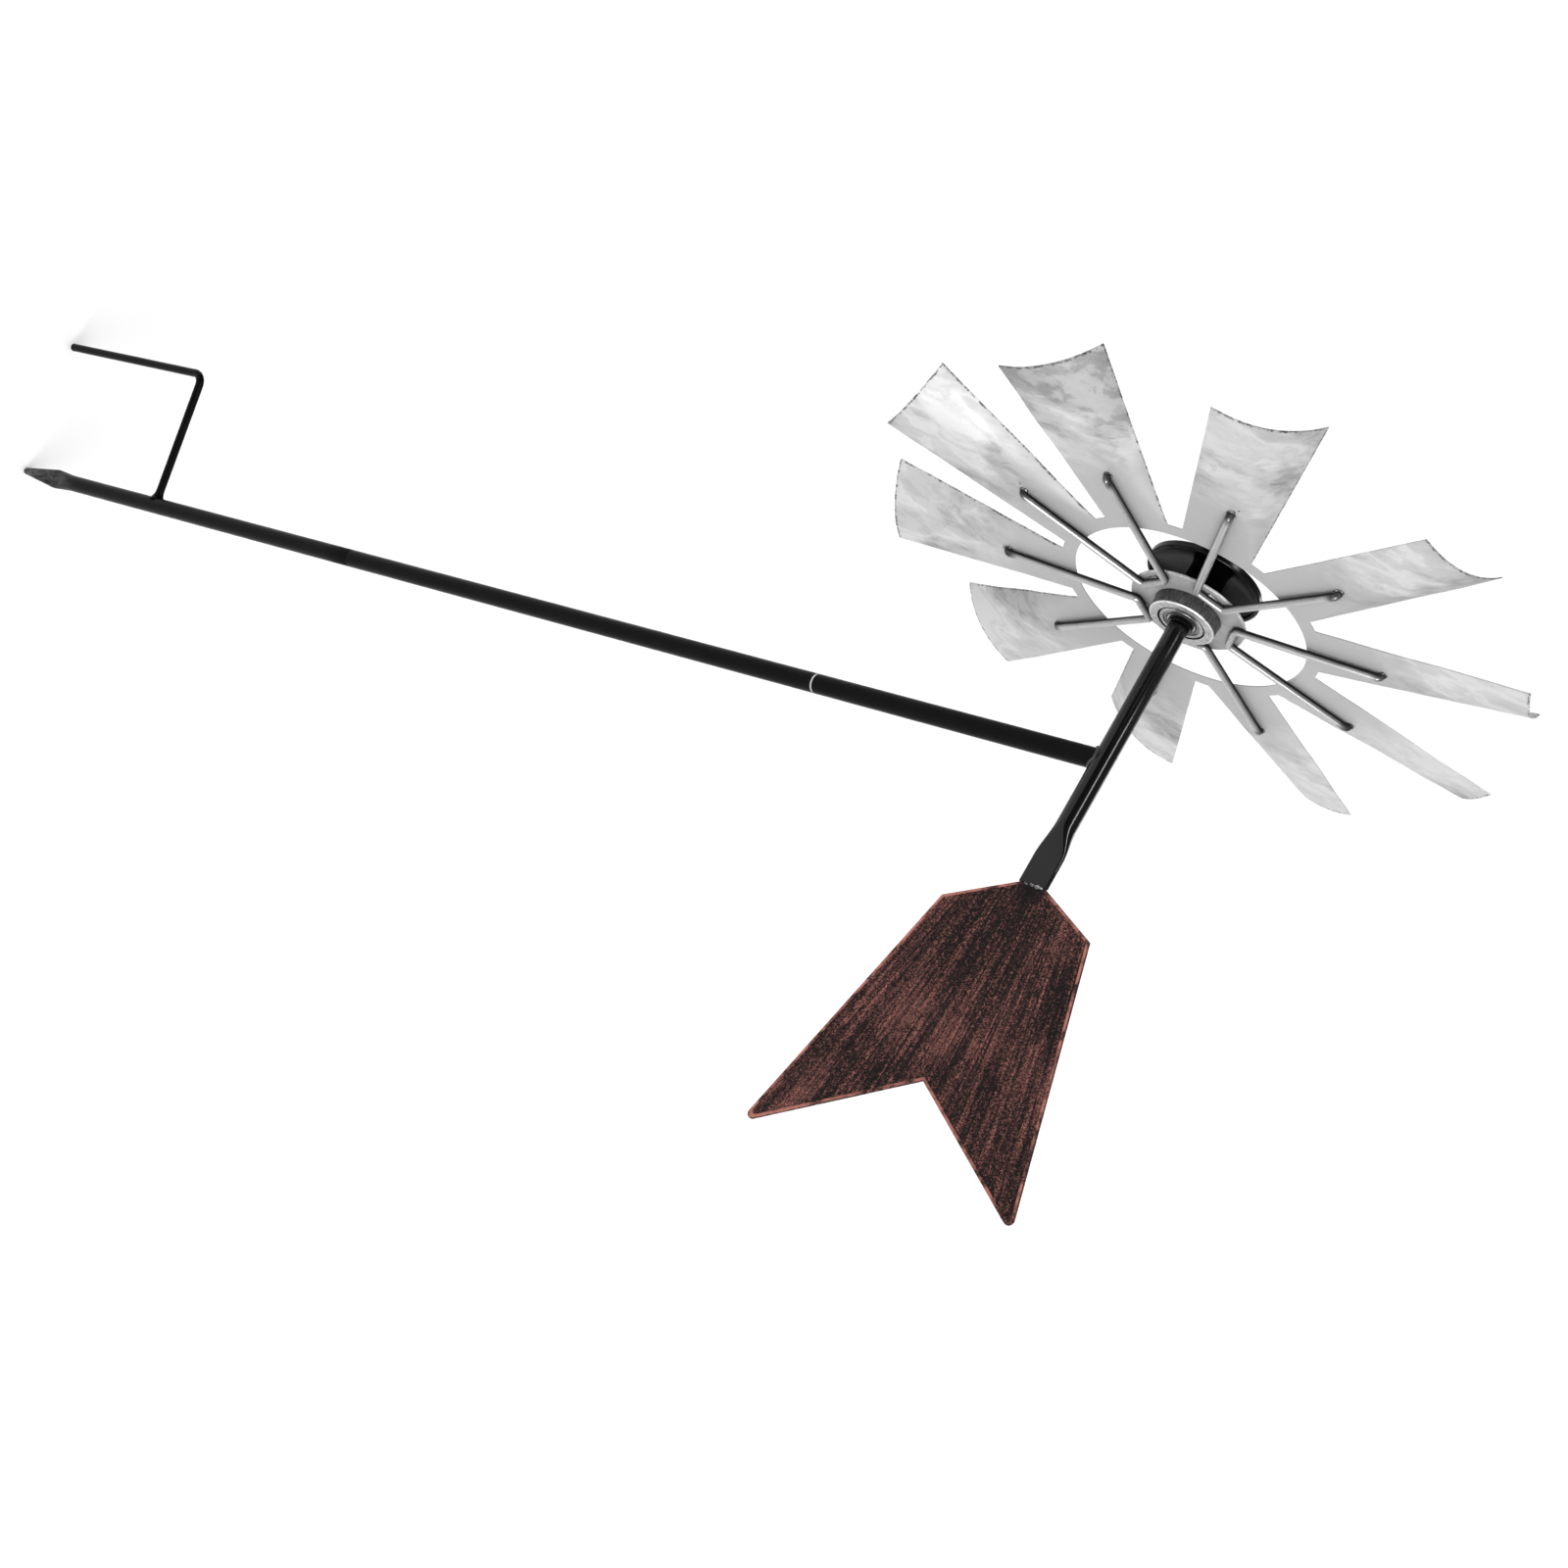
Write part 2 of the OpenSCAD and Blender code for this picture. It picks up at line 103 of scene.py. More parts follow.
def new_object(name, verts, faces, body, slot, sharp=35, **attributes):
    """A mesh piece that rides on a body. Attributes are named lists with one vector for each vertex."""
    mesh = bpy.data.meshes.new(name)
    mesh.from_pydata([tuple(v) for v in verts], [], faces)
    for key, values in attributes.items():
        layer = mesh.attributes.new(key, "FLOAT_VECTOR", "POINT")
        layer.data.foreach_set("vector", np.array(values, np.float32).ravel())
    obj = bpy.data.objects.new(name, mesh)
    bpy.context.scene.collection.objects.link(obj)
    set_smooth(mesh, sharp)
    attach(obj, body)
    return obj


def set_smooth(mesh, sharp):
    """Outward faces, smooth but for the edges that turn by more than an angle."""
    bm = bmesh.new()
    bm.from_mesh(mesh)
    bmesh.ops.recalc_face_normals(bm, faces=bm.faces)
    for face in bm.faces:
        face.smooth = True
    bm.to_mesh(mesh)
    bm.free()
    mesh.set_sharp_from_angle(angle=math.radians(sharp))
    mesh.update()


def bridge(rings, loop=False):
    """Faces between rings of points that all have the same count, with end caps unless they loop."""
    count = len(rings[0])
    last = len(rings) if loop else len(rings) - 1
    faces = []
    for i in range(last):
        a, b = i * count, (i + 1) % len(rings) * count
        for j in range(count):
            k = (j + 1) % count
            faces.append((a + j, a + k, b + k, b + j))
    if not loop:
        faces.append(tuple(range(count)))
        faces.append(tuple(range((len(rings) - 1) * count, len(rings) * count)))
    return faces


def soften(outline, radius, steps=3):
    """An outline with each corner rounded to about a radius."""
    soft = []
    for i, corner in enumerate(outline):
        p = Vector(corner)
        before = Vector(outline[i - 1]) - p
        after = Vector(outline[(i + 1) % len(outline)]) - p
        cut = min(radius, before.length * 0.45, after.length * 0.45)
        a, b = p + before.normalized() * cut, p + after.normalized() * cut
        for k in range(steps + 1):
            t = k / steps
            soft.append(a * (1 - t) ** 2 + p * 2 * t * (1 - t) + b * t * t)
    return soft


def on_axle(x, z, d):
    """A point of the wheel: x to the right, z up from the axis, d in front of the pole."""
    return Vector((x, -d, HUB_Z + z))


def lathe(name, profile, body, slot, edge, segments):
    """A turned piece. The profile holds (radius, distance along the axis) corners."""
    outline = soften(profile, edge)
    rings = []
    for k in range(segments):
        turn = 2 * math.pi * k / segments
        rings.append([on_axle(r * math.cos(turn), r * math.sin(turn), d) for r, d in outline])
    return new_object(name, sum(rings, []), bridge(rings, loop=True), body, slot)


def rounded_path(points, radius, steps=8):
    """Points along a path whose corners are arcs of a radius."""
    path = [Vector(points[0])]
    for i in range(1, len(points) - 1):
        p = Vector(points[i])
        back = (Vector(points[i - 1]) - p).normalized()
        ahead = (Vector(points[i + 1]) - p).normalized()
        half = back.angle(ahead) / 2
        centre = p + (back + ahead).normalized() * radius / math.sin(half)
        start = p + back * radius / math.tan(half) - centre
        stop = p + ahead * radius / math.tan(half) - centre
        for k in range(steps + 1):
            path.append(centre + start.normalized().slerp(stop.normalized(), k / steps) * radius)
    path.append(Vector(points[-1]))
    return path


def frames(path):
    """A direction and two sides at each point of a path, without twist."""
    ways = [(path[min(i + 1, len(path) - 1)] - path[max(i - 1, 0)]).normalized() for i in range(len(path))]
    side = ways[0].orthogonal().normalized()
    result = []
    for way in ways:
        side = (side - way * side.dot(way)).normalized()
        result.append((way, side, way.cross(side)))
    return result


def tube_along(path, radius, sides=20, dome=0.4):
    """Vertices, faces and unrolled places of a round rod. Radius is a number or a function of length."""
    size = radius if callable(radius) else lambda run: radius
    around = [2 * math.pi * k / sides for k in range(sides)]
    axes = frames(path)
    runs = [0.0]
    for a, b in zip(path, path[1:]):
        runs.append(runs[-1] + (b - a).length)
    stations = list(zip(path, axes, runs))
    rings, places = [], []
    for share in (0.35, 0.75, 0.95):
        rings.append((stations[0], share, -dome * math.sqrt(1 - share ** 2)))
    rings += [(station, 1, 0) for station in stations]
    for share in (0.95, 0.75, 0.35):
        rings.append((stations[-1], share, dome * math.sqrt(1 - share ** 2)))
    loops = []
    for (point, (way, side, up), run), share, past in rings:
        r = size(run)
        centre = point + way * past * r
        loops.append([centre + (side * math.cos(t) + up * math.sin(t)) * r * share for t in around])
        places += [(math.cos(t) * r, math.sin(t) * r, run + past * r) for t in around]
    return sum(loops, []), bridge(loops), places


def joined(name, parts, body, slot, sharp=60):
    """One object from several (verts, faces, places) parts."""
    verts, faces, places = [], [], []
    for part_verts, part_faces, part_places in parts:
        faces += [tuple(i + len(verts) for i in face) for face in part_faces]
        verts += part_verts
        places += part_places
    return new_object(name, verts, faces, body, slot, sharp, run=places)


def blob(centre, size, seed, rough=0.16):
    """A solid drop of weld metal, uneven, with its three half sizes."""
    bm = bmesh.new()
    bmesh.ops.create_icosphere(bm, subdivisions=3, radius=1)
    verts = []
    for vert in bm.verts:
        swell = 1 + rough * noise.noise(vert.co * 1.7 + Vector((seed * 3.1, 0, 0)))
        swell += rough * 0.5 * noise.noise(vert.co * 4.1 + Vector((0, seed * 1.7, 0)))
        verts.append(centre + Vector([vert.co[i] * swell * size[i] for i in range(3)]))
    faces = [tuple(v.index for v in face.verts) for face in bm.faces]
    bm.free()
    return verts, faces, [tuple(v - centre) for v in verts]


# Wheel ----------------------------------------------------------------------

ROOT_TURN = math.asin(ROOT_HALF / RING_OUTER)
APEX = Vector((math.sqrt(RING_OUTER ** 2 - ROOT_HALF ** 2), ROOT_HALF, 0))
FOLD_WAY = math.atan2(TIP_HALF + ROOT_HALF, BLADE_REACH - APEX.x)
FLARE = math.atan2(TIP_HALF - ROOT_HALF, BLADE_REACH - APEX.x)
RAMP = math.radians(4)
ROLL_STEPS = 360


def turned_pair(a, b, angle):
    """Two directions, both turned in their plane from the first towards the second."""
    return a * math.cos(angle) + b * math.sin(angle), b * math.cos(angle) - a * math.sin(angle)


def rolled_ways():
    """Directions from the apex of a blade's roll, for even steps past the fold line.

    The sheet bends along lines through the apex, with a curvature that grows over
    a short ramp and then stays that of a cone."""
    way = Vector((math.cos(FOLD_WAY), -math.sin(FOLD_WAY), 0))
    ahead = Vector((math.sin(FOLD_WAY), math.cos(FOLD_WAY), 0))
    up = Vector((0, 0, 1))
    step = (FOLD_WAY + FLARE + RAMP) / ROLL_STEPS
    ways = [way.copy()]
    for i in range(ROLL_STEPS):
        share = min(1, (i + 0.5) * step / RAMP)
        curve = share * share * (3 - 2 * share) / math.tan(ROLL_ANGLE)
        bend = curve * step
        way, ahead = turned_pair(way, ahead, step)
        ahead, up = turned_pair(ahead, up, bend)
        ways.append(way.copy())
    return ways, step


ROLL_WAYS, ROLL_STEP = rolled_ways()


def way_at(past_fold):
    """The direction from the apex at an angle past the fold line, before it is rolled."""
    if past_fold <= 0:
        turn = past_fold - FOLD_WAY
        return Vector((math.cos(turn), math.sin(turn), 0))
    at = min(past_fold / ROLL_STEP, ROLL_STEPS - 1e-6)
    low = int(at)
    return ROLL_WAYS[low].lerp(ROLL_WAYS[low + 1], at - low)


def blank_tip(share):
    """A point of a blank's outer edge, from the fold line's end to the free side."""
    past_fold = share * (FOLD_WAY + FLARE)
    trim = Vector((math.cos(TRIM_ANGLE), math.sin(TRIM_ANGLE), 0))
    corner = Vector((BLADE_REACH, -TIP_HALF, 0))
    reach = (corner - APEX).dot(trim) / way_at(past_fold).dot(trim)
    turn = past_fold - FOLD_WAY
    return APEX + Vector((math.cos(turn), math.sin(turn), 0)) * reach


def roll_sheet(p):
    """Where a point of the flat blank lies once the blade is rolled."""
    arm = p - APEX
    if arm.length < 1e-7:
        return APEX.copy()
    past_fold = math.atan2(arm.y, arm.x) + FOLD_WAY
    return APEX + way_at(past_fold) * arm.length


def dent(p, k):
    """Small unevenness of the sheet, none at the ring."""
    grow = min(1, max(0, (math.hypot(p.x, p.y) - RING_OUTER) / (60 * MM)))
    return grow * (0.7 * noise.noise(Vector((p.x * 22, p.y * 22, k * 5.3)))
                   + 0.25 * noise.noise(Vector((p.x * 70, p.y * 70, k * 2.9)))) * MM


def wind_wheel():
    """The flat ring with its ten blades, one sheet with thickness."""
    across, gap, ring_rows, along = 26, 4, 3, 44
    verts, index, edges = [], {}, []

    def add(key, point, to_edges):
        if key not in index:
            index[key] = len(verts)
            verts.append(point)
            edges.append(to_edges)
        return index[key]

    columns = []
    for k in range(BLADES):
        base = WHEEL_TURN + k * BLADE_STEP
        columns += [base - ROOT_TURN + 2 * ROOT_TURN * j / across for j in range(across)]
        open_turn = BLADE_STEP - 2 * ROOT_TURN
        columns += [base + ROOT_TURN + open_turn * j / gap for j in range(gap)]
    faces = []
    far_from_edges = (1.0, 1.0, 1.0)
    for row in range(ring_rows + 1):
        r = RING_INNER + (RING_OUTER - RING_INNER) * row / ring_rows
        for c, turn in enumerate(columns):
            add(("ring", row, c), on_axle(r * math.cos(turn), r * math.sin(turn), SHEET_REAR), far_from_edges)
    for row in range(ring_rows):
        for c in range(len(columns)):
            n = (c + 1) % len(columns)
            faces.append([index["ring", row, c], index["ring", row, n],
                          index["ring", row + 1, n], index["ring", row + 1, c]])
    per_blade = across + gap
    for k in range(BLADES):
        base = WHEEL_TURN + k * BLADE_STEP
        for j in range(across + 1):
            turn = -ROOT_TURN + 2 * ROOT_TURN * j / across
            root = Vector((RING_OUTER * math.cos(turn), RING_OUTER * math.sin(turn), 0))
            tip = blank_tip(j / across)
            for row in range(1, along + 1):
                flat = root.lerp(tip, row / along)
                p = roll_sheet(flat)
                p.z += dent(flat, k)
                width = 2 * (ROOT_HALF + (TIP_HALF - ROOT_HALF) * row / along)
                spun = Matrix.Rotation(base, 3, "Z") @ p
                to_edges = ((tip - flat).length, width * (1 - j / across), width * j / across)
                add(("blade", k, row, j), on_axle(spun.x, spun.y, SHEET_REAR + spun.z), to_edges)

        def at(row, j):
            if row == 0:
                return index["ring", ring_rows, (k * per_blade + j) % len(columns)]
            return index["blade", k, row, j]

        for row in range(along):
            for j in range(across):
                faces.append([at(row, j), at(row, j + 1), at(row + 1, j + 1), at(row + 1, j)])
    obj = new_object("wind_wheel_sheet", verts, faces, "rotor", "galvanised_sheet", edge_run=edges)
    if obj.data.polygons[0].normal.y > 0:  # the thickness goes to the rear of a forward face
        obj.data.flip_normals()
    shell = obj.modifiers.new("thickness", "SOLIDIFY")
    shell.thickness = SHEET_T
    shell.offset = 1
    apply_modifiers(obj)
    obj.data.set_sharp_from_angle(angle=math.radians(35))
    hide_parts("wind_wheel")


def apply_modifiers(obj):
    """Leaves the mesh as its modifiers make it."""
    graph = bpy.context.evaluated_depsgraph_get()
    mesh = bpy.data.meshes.new_from_object(obj.evaluated_get(graph), depsgraph=graph)
    obj.modifiers.clear()
    obj.data = mesh


# Spokes ---------------------------------------------------------------------

def spoke_point(pair, side, r, level):
    """A point of a wire's centreline: level is the distance behind the sheet."""
    turn = WHEEL_TURN + (2 * pair - 0.5) * BLADE_STEP + side * BLADE_STEP / 2
    return on_axle(r * math.cos(turn), r * math.sin(turn), SHEET_REAR - level)


def spoke_wire(pair):
    """A drawn wire with two arms, bent at its base and hooked onto the blades. The arms lean to the sheet."""
    base, arm = SHEET_REAR - PLATE_REAR + WIRE_R, WIRE_R + 0.5 * MM
    path = []
    for side in (-1, 1):
        stops = [(TIP_R, WIRE_R * 0.3), (TIP_R, arm), (BASE_R, base)]
        points = [spoke_point(pair, side, *stop) for stop in stops]
        middle = (points[2] + spoke_point(pair, -side, BASE_R, base)) / 2
        half = rounded_path(points, TIP_BEND)[:-1]
        half += [half[-1].lerp(points[2], t) for t in (0.25, 0.5, 0.75)]
        half += rounded_path([half[-1], points[2], middle], BASE_BEND)[1:]
        path = half if side < 0 else path + list(reversed(half))[1:]
    name = f"spoke_wire_{pair + 1}"
    obj = joined(name + "_bent", [tube_along(path, WIRE_R, 24)], "rotor", "spoke_steel")
    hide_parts(name)


def spoke_tacks():
    """Drops of weld metal where each arm meets its blade, with spatter beside them."""
    draw = random.Random(4)
    parts = []
    for k in range(BLADES):
        turn = WHEEL_TURN + k * BLADE_STEP
        rx, rz = math.cos(turn), math.sin(turn)
        end = on_axle(TIP_R * rx, TIP_R * rz, SHEET_REAR)
        out, side = Vector((rx, 0, rz)), Vector((-rz, 0, rx))
        spots = [(out * 1.6 * MM, 2.6), (side * 2 * MM - out * MM, 2.0), (-side * 2 * MM, 1.8)]
        for n, (shift, size) in enumerate(spots):
            shift = shift + out * draw.uniform(-0.5, 0.5) * MM
            half = Vector((size, 1.1, size)) * MM * draw.uniform(0.8, 1.1)
            parts.append(blob(end + shift + Vector((0, 0.45 * MM, 0)), half, k * 7 + n, 0.3))
        for n in range(draw.randint(2, 4)):
            away = out * draw.uniform(-6, 8) * MM + side * draw.uniform(-6, 6) * MM
            size = draw.uniform(0.3, 0.6) * MM
            parts.append(blob(end + away + Vector((0, size * 0.3, 0)), (size, size * 0.7, size), k + n))
    obj = joined("spoke_tack_welds", parts, "rotor", "weld_bare", 80)
    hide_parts("spoke_tacks")


def hub_welds():
    """Rippled beads on both sides of each wire's base."""
    parts = []
    base_distance = BASE_R * math.cos(BLADE_STEP / 2)
    for pair in range(BLADES // 2):
        turn = WHEEL_TURN + (2 * pair - 0.5) * BLADE_STEP
        out = Vector((math.cos(turn), 0, math.sin(turn)))
        side = Vector((-out.z, 0, out.x))
        for edge in (-1, 1):
            middle = on_axle(0, 0, PLATE_REAR - 0.5 * MM) + out * (base_distance + edge * (WIRE_R - 0.2 * MM))
            half = 3.4 * MM
            path = [middle + side * half * (t / 12 - 1) for t in range(25)]
            ripple = 2 * math.pi / (1.3 * MM)

            def bead(run, seed=pair * 2 + edge):
                uneven = noise.noise(Vector((run * 420, seed * 3.7, 0)))
                return 1.15 * MM * (1 + (0.04 * math.sin(run * ripple) + 0.45 * uneven))

            parts.append(tube_along(path, bead, 16, 0.8))
    obj = joined("hub_weld_beads", parts, "rotor", "weld_bare", 80)
    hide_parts("hub_welds")


# Hub ------------------------------------------------------------------------

RELIEF_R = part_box("bearing_outer_race")[1].x + 1.4 * MM
RELIEF_DEPTH = 3 * MM
SHIELD_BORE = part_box("bearing_inner_race")[1].x + 0.9 * MM


def hub_plate():
    """The round plate with a worn, slightly rounded edge."""
    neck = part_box("hub_neck")[1].x
    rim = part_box("hub_plate")[1].x
    profile = [(neck, PLATE_REAR), (rim, PLATE_REAR), (rim, PLATE_FRONT), (neck, PLATE_FRONT)]
    obj = lathe("hub_plate_disc", profile, "rotor", "plate_steel", 0.6 * MM, 192)
    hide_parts("hub_plate")


def bearing_housing():
    """The turned boss that holds the bearing, with a broken edge at its rim."""
    rear = -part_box("bearing_housing")[1].y
    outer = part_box("bearing_housing")[1].x
    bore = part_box("bearing_outer_race")[1].x
    profile = [(RELIEF_R, rear), (outer - 1.1 * MM, rear), (outer, rear + 0.9 * MM), (outer, PLATE_REAR),
               (bore, PLATE_REAR), (bore, rear + RELIEF_DEPTH), (RELIEF_R, rear + RELIEF_DEPTH)]
    obj = lathe("bearing_housing_turned", profile, "rotor", "machined_steel", 0.25 * MM, 192)
    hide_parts("bearing_housing")


def bearing_shield():
    """The pressed rear shield, with a step near its bore."""
    low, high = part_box("bearing_shield_rear")
    outer, rear, front = high.x, -high.y, -low.y
    inner = SHIELD_BORE
    step = outer - 1.3 * MM
    profile = [(outer, rear + 0.25 * MM), (outer, front), (step, front), (inner, front - 0.1 * MM),
               (inner, rear), (step - 0.3 * MM, rear), (step, rear + 0.25 * MM)]
    obj = lathe("bearing_shield_pressed", profile, "rotor", "shield_steel", 0.1 * MM, 128)
    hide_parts("bearing_shield_rear")


# Tubes ----------------------------------------------------------------------

def pressed_ring(thick, wide, count=72):
    """Corners of a tube's section that is pressed: half its thickness and half its width."""
    flat = wide - thick
    ring = []
    for k in range(count):
        turn = 2 * math.pi * k / count
        shift = flat * max(-1, min(1, 3 * math.sin(turn)))
        ring.append((thick * math.cos(turn), shift + thick * math.sin(turn)))
    return ring


def ease(x, x0, x1):
    """0 below x0, 1 above x1, smooth between."""
    t = max(0, min(1, (x - x0) / (x1 - x0)))
    return t * t * (3 - 2 * t)


def head_tube():
    """The cross tube, round from the axle to its rear, where it is pressed flat onto the tail."""
    press_from, press_to = 58 * MM, 86 * MM
    flat_thick = 2.1 * MM
    flat_wide = (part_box("head_tube")[1].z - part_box("head_tube")[0].z) / 2
    stations = [-TUBE_FRONT, -TUBE_FRONT + 0.3 * MM]
    stations += list(np.linspace(-TUBE_FRONT + 20 * MM, press_from, 8))
    stations += list(np.linspace(press_from, press_to, 26))[1:]
    stations += [TUBE_REAR - 0.5 * MM, TUBE_REAR]
    rings = []
    for y in stations:
        press = ease(y, press_from, press_to)
        thick = TUBE_R + (flat_thick - TUBE_R) * press
        wide = TUBE_R + (flat_wide - TUBE_R) * press
        trim = 0.4 * MM if y in (stations[0], stations[-1]) else 0
        rings.append([(x, y, HUB_Z + z) for x, z in pressed_ring(thick - trim, wide - trim)])
    places = [(x, z - HUB_Z, y) for ring in rings for x, y, z in ring]
    obj = new_object("head_tube_pressed", sum(rings, []), bridge(rings), "head", "black_gloss", 40,
                     run=places)
    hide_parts("head_tube")


def saddle_height(x, radius):
    """Underside of the head tube above a point at x, for a tube of a radius."""
    return HUB_Z - math.sqrt(max(0, radius ** 2 - x ** 2))


def head_post():
    """The top section of the pole, coped to the head tube."""
    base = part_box("head_post")[0].z
    bore = TUBE_R - TUBE_WALL
    rings = []
    count = 96
    around = [2 * math.pi * k / count for k in range(count)]
    wall = [(bore, base), (TUBE_R - 0.4 * MM, base), (TUBE_R, base + 0.4 * MM)]
    for r, z in wall:
        rings.append([(r * math.cos(t), r * math.sin(t), z) for t in around])
    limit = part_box("head_post")[1].z + 5 * MM
    for r in (TUBE_R, bore):
        ring = []
        for t in around:
            x, y = r * math.cos(t), r * math.sin(t)
            ring.append((x, y, min(limit, saddle_height(x, TUBE_R - 0.5 * MM))))
        rings.append(ring)
    faces = bridge(rings, loop=True)
    obj = new_object("head_post_coped", sum(rings, []), faces, "head", "black_gloss", 40)
    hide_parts("head_post")


def post_weld():
    """A painted bead that follows the saddle between post and head tube."""
    path = []
    count = 120
    r = TUBE_R + 0.2 * MM
    for k in range(count + 1):
        turn = 2 * math.pi * k / count
        x, y = r * math.cos(turn), r * math.sin(turn)
        z = saddle_height(min(abs(x), TUBE_R * 0.93), TUBE_R) - 0.4 * MM
        path.append(Vector((x, y, z)))

    def bead(run):
        ripple = 0.1 * math.sin(run * 2 * math.pi / (1.7 * MM))
        return 1.25 * MM * (1 + ripple + 0.2 * noise.noise(Vector((run * 400, 3, 0))))

    obj = joined("post_weld_bead", [tube_along(path, bead, 14)], "head", "weld_black", 80)
    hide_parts("post_weld")


def pole_lower():
    """The lower section of the pole, its end pressed flat and drawn into a blunt point."""
    low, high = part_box("pole_lower")
    press_from, press_to, nose = low.z + 88 * MM, low.z + 55 * MM, low.z + 3.5 * MM
    flat_thick, flat_wide, nose_wide = 2 * MM, 9.8 * MM, 3.5 * MM
    turn = Matrix.Rotation(PRONG_TURN, 3, "Z")
    bore = TUBE_R - TUBE_WALL
    rings = [[turn @ Vector((wide, thick, high.z)) for thick, wide in pressed_ring(bore, bore)]]
    stations = [high.z, high.z - 0.4 * MM] + list(np.linspace(high.z - 30 * MM, press_from, 8))
    stations += list(np.linspace(press_from, press_to, 24))[1:]
    stations += list(np.linspace(press_to, nose, 14))[1:]
    for z in stations:
        press = ease(-z, -press_from, -press_to)
        thick = TUBE_R + (flat_thick - TUBE_R) * press
        wide = TUBE_R + (flat_wide - TUBE_R) * press
        if z < press_to:
            wide = nose_wide + (flat_wide - nose_wide) * (z - nose) / (press_to - nose)
        trim = 0.3 * MM if z == stations[0] else 0
        rings.append([turn @ Vector((w, t, z)) for t, w in pressed_ring(thick - trim, wide - trim)])
    for k in range(1, 8):
        dip = math.pi / 2 * k / 8
        wide, z = nose_wide * math.cos(dip), nose - (nose - low.z) * math.sin(dip)
        thick = min(flat_thick, wide * 0.95)
        rings.append([turn @ Vector((w, t, z)) for t, w in pressed_ring(thick, wide)])
    obj = new_object("pole_lower_pressed", sum(rings, []), bridge(rings), "stake", "black_tube", 40)
    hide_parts("pole_lower")


def prong_weld():
    """A flared bead round the prong, larger towards the point of the spike."""
    axis_z = (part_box("prong_weld")[0].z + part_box("prong_weld")[1].z) / 2
    reach, rod_r = 8 * MM, 4 * MM
    turn = Matrix.Rotation(PRONG_TURN, 3, "Z")
    rings = []
    steps, count = 16, 48
    for i in range(steps + 1):
        t = i / steps
        x = TUBE_R - 2.6 * MM + (reach + 2.6 * MM) * t
        ring = []
        for k in range(count):
            angle = 2 * math.pi * k / count
            below = 0.5 - 0.5 * math.sin(angle)
            swell = (3.2 + 1.2 * below) * MM * (1 - t) ** 2.2
            swell *= 1 + 0.18 * noise.noise(Vector((math.cos(angle) * 2, math.sin(angle) * 2, t * 5)))
            r = rod_r + 0.05 * MM + swell
            ring.append(turn @ Vector((x, r * math.cos(angle), axis_z + r * math.sin(angle))))
        rings.append(ring)
    obj = new_object("prong_weld_bead", sum(rings, []), bridge(rings), "stake", "weld_black", 70)
    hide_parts("prong_weld")


# Tail -----------------------------------------------------------------------

TAIL_TIP_Y = 346 * MM
TAIL_TIP_HALF = 114 * MM
SHOULDER_Y = 137 * MM
SHOULDER_HALF = 62 * MM
NOTCH_Y = 271 * MM
NECK_HALF = 10 * MM


def inset(outline, d):
    """An anticlockwise outline with its sides moved inwards."""
    moved = []
    for i, p in enumerate(outline):
        u = (p - outline[i - 1]).normalized()
        v = (outline[(i + 1) % len(outline)] - p).normalized()
        a, b = Vector((-u.y, u.x)), Vector((-v.y, v.x))
        moved.append(p + (a + b) * d / (1 + a.dot(b)))
    return moved


def tail_loop(d):
    """The tail's outline at a distance inside its edge, as (y, z), with round tips."""
    lower = [(TUBE_REAR, -NECK_HALF), (SHOULDER_Y, -SHOULDER_HALF), (TAIL_TIP_Y, -TAIL_TIP_HALF)]
    corners = lower + [(NOTCH_Y, 0)] + [(y, -z) for y, z in reversed(lower)]
    outline = inset([Vector(c) for c in corners], d)
    loop = []
    for i, p in enumerate(outline):
        if i not in (2, 4):
            loop.append(p)
            continue
        u, v = (outline[i - 1] - p).normalized(), (outline[i + 1] - p).normalized()
        half, r = u.angle(v) / 2, 4 * MM - d / 2
        centre = p + (u + v).normalized() * r / math.sin(half)
        middle = -(u + v).normalized()
        for k in range(-4, 5):
            loop.append(centre + r * (Matrix.Rotation((math.pi / 2 - half) * k / 4, 2) @ middle))
    return loop


def tail_vane():
    """The vane: a thin sheet with a pressed, sloping border on both faces."""
    web, border = 0.6 * MM, 1.15 * MM
    slope_end = web + 0.04 * MM
    steps = [(0.35, border * 0.35), (0.0, border * 0.75), (0.35, border), (2.0, border), (3.1, slope_end),
             (3.6, web)]
    front = [[(x, p.x, HUB_Z + p.y) for p in tail_loop(d * MM)] for d, x in steps]
    back = [[(-x, y, z) for x, y, z in ring] for ring in front[1:]]
    rings = front[::-1] + back
    obj = new_object("tail_vane_pressed", sum(rings, []), bridge(rings), "head", "tail_bronze", 30)
    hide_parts("tail_vane")


def tail_weld():
    """Weld drops at the mouth of the tube's pressed end, on both faces of the vane."""
    drops = [(0.6, 4.0, 2.4), (0.4, -0.5, 1.7), (0.9, 7.2, 1.5), (0.5, -5.2, 1.6)]
    parts = []
    for n, (dy, dz, size) in enumerate(drops):
        for face in (-1, 1):
            centre = Vector((face * 0.9 * MM, TUBE_REAR + dy * MM, HUB_Z + dz * MM))
            parts.append(blob(centre, Vector((1.5, size * 0.7, size)) * MM, n + 9 * face, 0.35))
    obj = joined("tail_weld_drops", parts, "head", "weld_bare", 80)
    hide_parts("tail_weld")


# Materials ------------------------------------------------------------------

